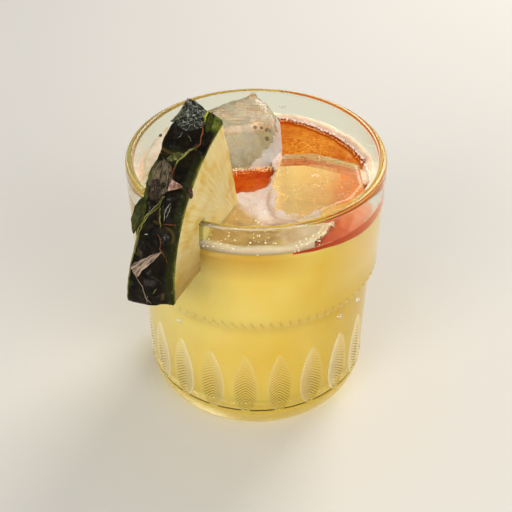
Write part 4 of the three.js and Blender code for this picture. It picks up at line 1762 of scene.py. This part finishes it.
@dataclass
class PineappleWedge:
    """The quarter slice of pineapple that hangs on the rim: flesh, rind, bracts and fibres."""

    rim_point: Place = (-16.95, -39.29, 91.0)
    inward: Point = (0.4462, 0.8949)
    tip: Point = (27.1, -16.3)
    radius: float = 44.6
    start: float = math.radians(105)
    end: float = math.radians(183.5)
    thickness: float = 13.0
    low_flare: float = 0.16
    low_shear: float = 0.24
    low_depth: float = 17.0
    peak: float = 4.9
    peak_place: float = 10.8
    peak_angle: float = 0.22
    core: float = 0.8
    rind_thickness: float = 1.3
    slot_walls: Point = (39.5, 43.3)
    slot_heights: Point = (60.0, 91.05)
    seed_place: Point = (-4.5, 13.6)
    flesh_cells: tuple[int, int, int] = (96, 120, 28)
    rind_cells: tuple[int, int, int] = (5, 230, 56)
    flake_cell: float = 0.25
    fibre_steps: int = 10
    scales: tuple[Scale, ...] = (
        Scale(115.5, 8.6, 7.0, 6.2, 1.7, 0.15),
        Scale(110.5, 2.0, 5.0, 2.6, 1.1, 0.2),
        Scale(128.5, 2.6, 6.2, 4.0, 1.4, -0.25),
        Scale(134.5, 10.4, 7.6, 4.8, 0.5, 0.1),
        Scale(143.5, 3.4, 6.2, 4.2, 1.2, -0.1),
        Scale(150.0, 11.8, 6.2, 3.4, 0.9, 0.35),
        Scale(158.0, 6.6, 5.6, 5.4, 1.5, 0.2),
        Scale(167.0, 1.8, 8.5, 2.4, 0.9, 0.0),
        Scale(174.5, 8.4, 8.4, 6.2, 1.5, 0.1),
    )
    flakes: tuple[Flake, ...] = (
        Flake((115.4, 7.2, 0.0), (104.8, 9.0, 0.3), 8.4, Outline.PATCH, SILVER_BRACT, 0.35, -0.1, 0.3, 1.0),
        Flake((112.8, 12.3, 0.4), (104.7, 11.2, 0.7), 3.6, Outline.TRIANGLE, OLIVE_BRACT, 0.1, 0.0, 0.3,
              1.0),
        Flake((127.4, 10.7, 0.5), (142.6, 9.4, 0.9), 6.6, Outline.PATCH, FUZZY_BRACT, 0.5, -0.4),
        Flake((128.2, 13.0, 0.3), (144.4, 12.4, 0.6), 1.9, Outline.PATCH, FUZZY_EDGE, 0.3, -0.3),
        Flake((135.2, 10.4, 0.9), (142.6, 9.6, 1.2), 5.8, Outline.PATCH, RIDGED_BRACT, 0.5, -0.5),
        Flake((143.0, 12.9, 0.2), (156.8, 13.4, 0.9), 4.1, Outline.LEAF, GREEN_BRACT, 0.08, 0.3, 0.5),
        Flake((170.2, 11.9, 0.9), (160.2, 3.4, 1.0), 4.0, Outline.TRIANGLE, TAN_BRACT, 0.2, -0.1),
        Flake((136.0, 6.2, 0.9), (135.4, 1.6, 1.2), 3.6, Outline.TRIANGLE, PINK_FLAKE, 0.25, -0.2),
        Flake((113.2, 1.7, 0.5), (104.9, 3.1, 0.7), 2.2, Outline.LEAF, GREEN_BRACT, 0.05, -0.4, 0.8),
        Flake((127.0, 9.9, 0.5), (122.0, 4.2, 0.6), 2.8, Outline.LEAF, BRIGHT_BRACT, 0.15, -0.3, 0.4),
    )
    fibres: tuple[Fibre, ...] = (
        Fibre(GREEN_MARGIN, 0.42, ((105.0, 4.5), (106.2, 4.6), (108.1, 4.2), (109.8, 3.6))),
        Fibre(OCHRE_MARGIN, 0.24, ((109.7, 3.8), (111.4, 3.9), (113.0, 2.8), (115.5, 2.5), (117.9, 2.3),
            (119.8, 2.7))),
        Fibre(PALE_MARGIN, 0.36, ((120.1, 2.8), (121.4, 3.8), (123.6, 4.6), (126.4, 6.1), (128.5, 6.6))),
        Fibre(OCHRE_MARGIN, 0.28, ((127.5, 6.5), (129.3, 6.7), (131.5, 6.7), (134.0, 6.3))),
        Fibre(PALE_MARGIN, 0.24, ((140.6, 6.9), (144.9, 8.6), (149.4, 10.8), (154.2, 12.3), (159.5, 12.8),
            (165.1, 12.95), (171.0, 12.95), (179.5, 12.95), (183.3, 12.9))),
        Fibre(PALE_MARGIN, 0.16, ((140.3, 6.4), (144.9, 7.7), (148.7, 10.0), (152.1, 11.2), (155.3, 11.8),
            (160.2, 12.4), (164.1, 12.7))),
        Fibre(PALE_MARGIN, 0.2, ((145.0, 6.8), (148.2, 6.3), (152.1, 5.4))),
        Fibre(OCHRE_MARGIN, 0.15, ((150.3, 4.8), (149.6, 2.1), (149.2, 0.3))),
        Fibre(OCHRE_MARGIN, 0.18, ((154.4, 5.8), (155.4, 4.9), (157.2, 4.1), (159.4, 4.2), (160.7, 2.9),
            (162.6, 2.1), (164.2, 1.6))),
        Fibre(TAN_BRACT, 0.13, ((171.4, 11.0), (176.1, 8.3), (179.9, 7.2), (182.4, 5.7))),
        Fibre(TAN_BRACT, 0.1, ((178.9, 6.7), (182.2, 7.1))),
        Fibre(PALE_MARGIN, 0.1, ((175.3, 4.0), (177.7, 5.3))),
        Fibre(SILVER_LINE, 0.09, ((118.6, 8.9), (117.3, 8.6), (116.1, 8.2))),
        Fibre(SILVER_LINE, 0.08, ((116.7, 6.1), (117.5, 5.3), (118.4, 4.6))),
        Fibre(SILVER_LINE, 0.08, ((114.5, 7.8), (114.9, 7.0))),
        Fibre(SILVER_LINE, 0.12, ((142.4, 3.9), (144.2, 4.8), (146.4, 4.9), (149.2, 4.5))),
        Fibre(SILVER_LINE, 0.09, ((143.2, 3.5), (145.4, 3.9), (147.6, 4.0))),
        Fibre(SILVER_LINE, 0.14, ((156.1, 10.0), (155.4, 9.0))),
    )

    def hung(self, along: float, up: float, depth: float) -> Place:
        """Brings a place to the glass.

        Args:
            along: Distance inwards from the rim.
            up: Height over the rim.
            depth: Distance from the visible cut face.

        Returns:
            The place in the part's frame, in millimetres.
        """
        (ux, uy), (px, py, pz) = self.inward, self.rim_point
        return px + along * ux - depth * uy, py + along * uy + depth * ux, pz + up

    def place(self, angle: float, radius: float, across: float) -> Place:
        """Brings a point of the slice to the glass.

        Args:
            angle: Angle about the slice's tip, in radians.
            radius: Distance from the tip.
            across: Place through the slice's thickness, from the visible cut face.

        Returns:
            The place in the part's frame, in millimetres.
        """
        x = self.tip[0] + radius * math.cos(angle)
        y = self.tip[1] + radius * math.sin(angle)
        low = clamped((4 - x) / 16) * clamped(-y / self.low_depth)
        near_start = clamped(1 - (angle - self.start) / self.peak_angle)
        before = across / self.peak_place
        after = (self.thickness - across) / (self.thickness - self.peak_place)
        share = clamped(min(before, after))
        peak = self.peak * near_start * share * ramped(radius, self.radius - 6, self.radius)
        return self.hung(x, y + (peak - self.low_shear * across * low), across * (1 + self.low_flare * low))

    def relief(self, degrees: float, across: float) -> Point:
        """The rind's height and how near the place is to a scale's margin.

        Args:
            degrees: Angle about the slice's tip.
            across: Place through the slice's thickness.

        Returns:
            The height in millimetres, and a share from 0 to 1.
        """
        height, margin = 0.0, 0.0
        for scale in self.scales:
            a = math.radians(degrees - scale.angle) * self.radius
            b = across - scale.across
            cos, sin = math.cos(scale.tilt), math.sin(scale.tilt)
            u = (a * cos + b * sin) / scale.half_length
            v = (b * cos - a * sin) / scale.half_width
            d = (abs(u) ** 4 + abs(v) ** 4) ** 0.25
            if d < 1.25:
                dome = scale.height * (0.7 + 0.3 * u) * (1 - min(d, 1) ** 7)
                dome += 0.3 * scale.height * (1 - ramped(d, 0.92, 1.25))
                if dome > height:
                    height = dome
                    margin = math.exp(-((d - 0.99) / 0.05) ** 2)
                    margin *= ramped(waviness((a, b, 2), 3.0), -0.2, 0.3)
        arc = degrees * 0.78
        wrinkle = 0.22 * waviness((arc, across, 0), 2.2) + 0.12 * waviness((arc, across, 5), 0.9)
        return height + wrinkle, margin

    def flesh(self) -> None:
        """The flesh, with fibres drawn from its core to its rind, cut where the glass stands in it."""
        rind = self.radius - self.rind_thickness + 0.15

        def spot(s: float, t: float, w: float) -> Place:
            """Place of a point of the flesh.

            Args:
                s: Share of the radius.
                t: Share of the angle.
                w: Share of the thickness.

            Returns:
                The place.
            """
            radius = self.core + (rind - self.core) * s
            angle = self.start + (self.end - self.start) * t
            across = self.thickness * w
            fibre = waviness((angle * 34, radius * 0.16, across * 0.8), 1.0)
            lump = waviness((radius * math.cos(angle), radius * math.sin(angle), across), 5.0)
            face = (1 if w == 1 else -1 if w == 0 else 0) * (0.14 * fibre + 0.2 * lump)
            side = (1 if t == 1 else -1 if t == 0 else 0) * 0.25 * lump / max(radius, 6)
            return self.place(angle + side, radius, across + face)

        piece = block("pineapple_flesh", self.flesh_cells, spot)
        (inner, outer), (low, high) = self.slot_walls, self.slot_heights
        cut(piece, [turned("slot", [(inner, low), (outer, low), (outer, high), (inner, high)], 256, True)])
        fibres = piece.data.uv_layers.new(name="fibres")
        (ux, uy), (px, py, pz) = self.inward, self.rim_point
        for loop in piece.data.loops:
            x, y, z = piece.data.vertices[loop.vertex_index].co / MM
            along = (x - px) * ux + (y - py) * uy - self.tip[0]
            up = z - pz - self.tip[1]
            fibres.data[loop.index].uv = (math.hypot(along, up), math.atan2(up, along) % math.tau * 30)
        creased(piece)
        finished(piece, Slot.PINEAPPLE, "pineapple_wedge", finish=PINEAPPLE)

    def rind(self) -> None:
        """The rind: a thick curved sheet with raised scales, pale green where it was cut."""
        marks: list[tuple[float, ...]] = []

        def spot(s: float, t: float, w: float) -> Place:
            """Place of a point of the rind, with its marks kept for the finish.

            Args:
                s: Share of the rind's depth.
                t: Share of the angle.
                w: Share of the slice's thickness.

            Returns:
                The place.
            """
            angle = self.start + (self.end - self.start) * t
            degrees = math.degrees(angle)
            across = -0.1 + (self.thickness + 0.2) * w
            height, margin = self.relief(degrees, across)
            crown = ramped(degrees, 113, 108) * ramped(2.4 - across, 0, 1.2)
            patch = math.exp(-((degrees - 125.5) / 2.6) ** 2 - ((across - 7.6) / 2.4) ** 2)
            strip = ramped(degrees, 118, 130) * ramped(2.4 - across, 0, 1.6)
            green = min(1.0, 0.9 * patch + 0.7 * strip + 0.6 * ramped(across, 12.2, 13.0))
            marks.append((margin * s, max(1 - ramped(s, 0.2, 0.6), crown), green))
            return self.place(angle, self.radius - self.rind_thickness + (self.rind_thickness + height) * s,
                              across)

        piece = block("pineapple_rind", self.rind_cells, spot)
        set_values(piece, **dict(zip(("margin", "inside", "green"), zip(*marks))))
        creased(piece)
        finished(piece, Slot.PINEAPPLE, "pineapple_wedge", finish=RIND)

    def flake(self, number: int, flake: Flake) -> Piece:
        """One bract: a thin crinkled sheet rooted on the rind.

        Args:
            number: Its number, for its name.
            flake: Its place, size and finish.

        Returns:
            The new piece.
        """
        arc = math.radians(flake.tip[0] - flake.root[0]) * self.radius
        across = flake.tip[1] - flake.root[1]
        length = math.hypot(arc, across)
        side_arc, side_across = -across / length, arc / length
        marks: list[Point] = []

        def spot(t: float, v: float, layer: float) -> Place:
            """Place of a point of the flake, with its place on the sheet kept for the finish.

            Args:
                t: Share of the length.
                v: Share of the width.
                layer: Share of the thickness.

            Returns:
                The place.
            """
            sideways = 2 * v - 1
            ragged = 1 + 0.22 * waviness((t * length, sideways * 2, number), 1.6) * (abs(sideways) > 0.5)
            off = sideways * flake.fullness(t) * ragged * flake.width / 2
            degrees, place_across, lift = [a + (b - a) * t for a, b in zip(flake.root, flake.tip)]
            degrees += math.degrees(side_arc * off / self.radius)
            place_across += side_across * off
            lift += flake.crinkle * waviness((t * length, off, number * 5), 1.5)
            lift += flake.curl * sideways * sideways + flake.thickness * (layer - 0.5)
            ground = max(self.relief(degrees, place_across)[0], 0.0) * flake.hugging
            marks.append((t * length / 8, v * flake.width))
            return self.place(math.radians(degrees), self.radius + ground + lift, place_across)

        cells = (max(12, round(length / self.flake_cell)), max(8, round(flake.width / self.flake_cell)), 1)
        piece = block(f"rind_flake_{number}", cells, spot)
        set_values(piece, **dict(zip(("along", "sideways"), zip(*marks))))
        return finished(piece, Slot.PINEAPPLE, finish=flake.finish)

    def fuzz(self, tree: Tree, given: Given) -> Socket:
        """Sets fine leaning hairs on a sheet.

        Args:
            tree: The geometry tree.
            given: Its inputs.

        Returns:
            The hairs.
        """
        seed = given["Seed"]
        points, *_, turn = tree.add("GeometryNodeDistributePointsOnFaces", given["Geometry"],
                                    Density=given["Density"], Seed=seed, distribute_method="RANDOM", out=ALL)
        hair = tree.add("GeometryNodeMeshCone", Vertices=4, Side_Segments=1, Fill_Segments=1, Radius_Top=0.0,
                        Radius_Bottom=given["Thickness"], Depth=given["Length"])
        turn = tree.add("FunctionNodeRotateRotation", turn, tree.strewn(given["Lean"], math.tau, seed),
                        rotation_space="LOCAL")
        size = tree.add("FunctionNodeRandomValue", Min=0.5, Max=1.2, Seed=seed)
        return tree.add("GeometryNodeInstanceOnPoints", points, Instance=hair, Rotation=turn, Scale=size)

    def tubes(self, tree: Tree, given: Given) -> Socket:
        """Gives drawn lines a round section, as thick as each point asks for.

        Args:
            tree: The geometry tree.
            given: Its inputs.

        Returns:
            The tubes.
        """
        return tree.add(
            "GeometryNodeCurveToMesh", tree.add("GeometryNodeMeshToCurve", given["Geometry"]),
            Profile_Curve=tree.add("GeometryNodeCurvePrimitiveCircle", given["Sides"], Radius=1.0),
            Scale=tree.add("GeometryNodeInputNamedAttribute", Name="thickness", data_type="FLOAT"),
            Fill_Caps=True)

    def fibre_lines(self, finish: Finish) -> None:
        """Draws all fibres of one finish along the rind and gives them their section.

        Args:
            finish: The finish.
        """
        points: list[Place] = []
        edges: list[tuple[int, int]] = []
        thickness: list[float] = []
        for fibre in [f for f in self.fibres if f.finish is finish]:
            spans = len(fibre.points) - 1
            total = spans * self.fibre_steps
            for i in range(total + 1):
                span = min(i // self.fibre_steps, spans - 1)
                t = i / self.fibre_steps - span
                degrees, across = [a + (b - a) * t for a, b in zip(*fibre.points[span:span + 2])]
                across += 0.25 * waviness((i * 0.3, 0, 0), 1.7)
                lift = max(self.relief(degrees, across)[0], 0) + 0.5 * fibre.radius
                points.append(self.place(math.radians(degrees), self.radius + lift, across))
                swell = math.sin(math.pi * (0.06 + 0.88 * i / total)) ** 0.6
                thickness.append(fibre.radius * (swell + 0.15 * waviness((i * 0.4, 3, 0), 1.0)) * MM)
                if i:
                    edges.append((len(points) - 2, len(points) - 1))
        piece = made_mesh(f"rind_{finish.name}_lines", points, [], edges)
        set_values(piece, thickness=thickness)
        grown(piece, "rind_fibres", self.tubes, {"Sides": 8, "Material": finish.material()})
        finished(piece, Slot.PINEAPPLE)

    def seed(self) -> None:
        """The brown seed pit in the visible cut face."""
        piece = turned("pineapple_seed", path((0, -1), ((1.15, -1), (1, 0), 8), ((1.15, 1), (0, 1), 8)), 24)
        for vertex in piece.data.vertices:
            x, y, z = vertex.co / MM
            along, up = self.seed_place[0] + 1.0 * x - 0.35 * z, self.seed_place[1] + 2.0 * z
            vertex.co = Vector(self.hung(along, up, 0.6 * y)) * MM
        finished(piece, Slot.PINEAPPLE, finish=SEED)

    def build(self) -> None:
        """Makes every piece of the wedge."""
        self.flesh()
        self.rind()
        self.seed()
        grounds = [self.flake(number, flake) for number, flake in enumerate(self.flakes, 1)]
        coats = {FUZZY_BRACT: ("rind_fuzz", HAIR), FUZZY_EDGE: ("rind_margin_fuzz", FUZZY_EDGE)}
        for ground, flake in zip(grounds, self.flakes):
            if flake.finish in coats:
                name, finish = coats[flake.finish]
                finished(grown(made_object(name, ground.data.copy()), "rind_fuzz", self.fuzz, {
                    "Density": 2e6, "Length": 1.9 * MM, "Thickness": 0.05 * MM, "Lean": 1.0, "Seed": 3,
                    "Material": finish.material()}, smooth=False), Slot.PINEAPPLE)
        for finish in dict.fromkeys(fibre.finish for fibre in self.fibres):
            self.fibre_lines(finish)


# Studio

def aimed(name: str, what: bpy.types.Light | bpy.types.Camera, place: Place, aim: Place) -> Piece:
    """Puts a lamp or a camera into the scene.

    Args:
        name: Its name.
        what: Its settings.
        place: Where it stands, in metres.
        aim: The place that it looks at, in metres.

    Returns:
        The new object.
    """
    holder = bpy.data.objects.new(name, what)
    holder.location = place
    holder.rotation_euler = (Vector(aim) - Vector(place)).to_track_quat("-Z", "Y").to_euler()
    bpy.context.scene.collection.objects.link(holder)
    return holder


@dataclass(frozen=True)
class Softbox:
    """A large soft lamp: its place, what it is aimed at, its size and its power."""

    name: str
    place: Place
    aim: Place
    size: float
    power: float
    colour: str

    def build(self) -> None:
        """Sets up the lamp."""
        lamp = bpy.data.lights.new(self.name, "AREA")
        lamp.shape = "SQUARE"
        lamp.size = self.size
        lamp.energy = self.power
        lamp.color = linear(self.colour)[:3]
        aimed(self.name, lamp, self.place, self.aim)


@dataclass
class Studio:
    """A pale floor, soft light and the camera, in metres."""

    floor_size: float = 6.0
    floor_drop: float = 0.05 * MM
    camera_place: Place = (0.0, -0.2928, 0.27849)
    camera_aim: Place = (-0.000085, 0.001195, 0.0465)
    lens: float = 74.18
    sensor: float = 36.0
    sky: str = "dfe3e6"
    sky_strength: float = 0.42
    softboxes: tuple[Softbox, ...] = (
        Softbox("key_left", (-0.42, -0.55, 0.45), (0, 0, 0.05), 0.4, 2.3, "fff6ea"),
        Softbox("back_right", (0.35, 0.6, 0.6), (0, 0, 0.06), 0.4, 4.4, "fff6ea"),
        Softbox("front_right", (0.45, -0.55, 0.5), (0, 0, 0.05), 0.45, 2.3, "fffaf2"),
    )

    def build(self) -> None:
        """Sets up the floor, the lamps, the sky and the camera."""
        half, low = self.floor_size / 2 / MM, -self.floor_drop / MM
        corners = [(-half, -half, low), (half, -half, low), (half, half, low), (-half, half, low)]
        floor = made_mesh("floor", corners, [(0, 1, 2, 3)])
        floor.data.materials.append(FLOOR.material())
        floor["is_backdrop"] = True
        for softbox in self.softboxes:
            softbox.build()
        scene = bpy.context.scene
        scene.world = bpy.data.worlds.new("studio_sky")
        scene.world.use_nodes = True
        scene.world.node_tree.nodes.clear()
        tree = Tree(scene.world.node_tree)
        tree.add("OutputWorld", tree.add("Background", self.sky, self.sky_strength))
        camera = bpy.data.cameras.new("photo_view")
        camera.lens = self.lens
        camera.sensor_width = self.sensor
        scene.camera = aimed("photo_view", camera, self.camera_place, self.camera_aim)
        scene.view_settings.view_transform = "Standard"


def write_sizes() -> None:
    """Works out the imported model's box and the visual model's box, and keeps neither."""
    boxes = {"cad": CAD_BOX, "visual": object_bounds()}
    {name: [list(corner) for corner in box] for name, box in boxes.items()}


def main() -> None:
    """Builds the object piece by piece."""
    logging.basicConfig(level=logging.INFO, format="%(message)s")
    Studio().build()
    hollow = Hollow()
    Tumbler(hollow).build()
    ice = [
        IceBlock("ice_back", "ice_block_back", CLOUDY_ICE, voxel=0.45, ridge_pitch=1.9, seed=2.0).build(),
        IceBlock("ice_right", "ice_block_right", CLEAR_ICE, ripple_height=0.03, seed=5.0,
                 banded_edge=((7.0, 9.8), (16.5, 9.8), (33.6, 3.4))).build(),
        IceBlock("ice_left", "ice_block_left", FOAMY_ICE, seed=8.0).build(),
    ]
    Drink(hollow).build(ice)
    OrangeSlice(hollow).build(ice)
    Foam(hollow).build(ice)
    FoamFilm("foam_film_right", cover_right).build(ice[1])
    FoamFilm("foam_film_back", cover_back).build(ice[0])
    Beads().build()
    for drops in DROPS:
        drops.build()
    PineappleWedge().build()
    write_sizes()


if __name__ == "__main__":
    main()
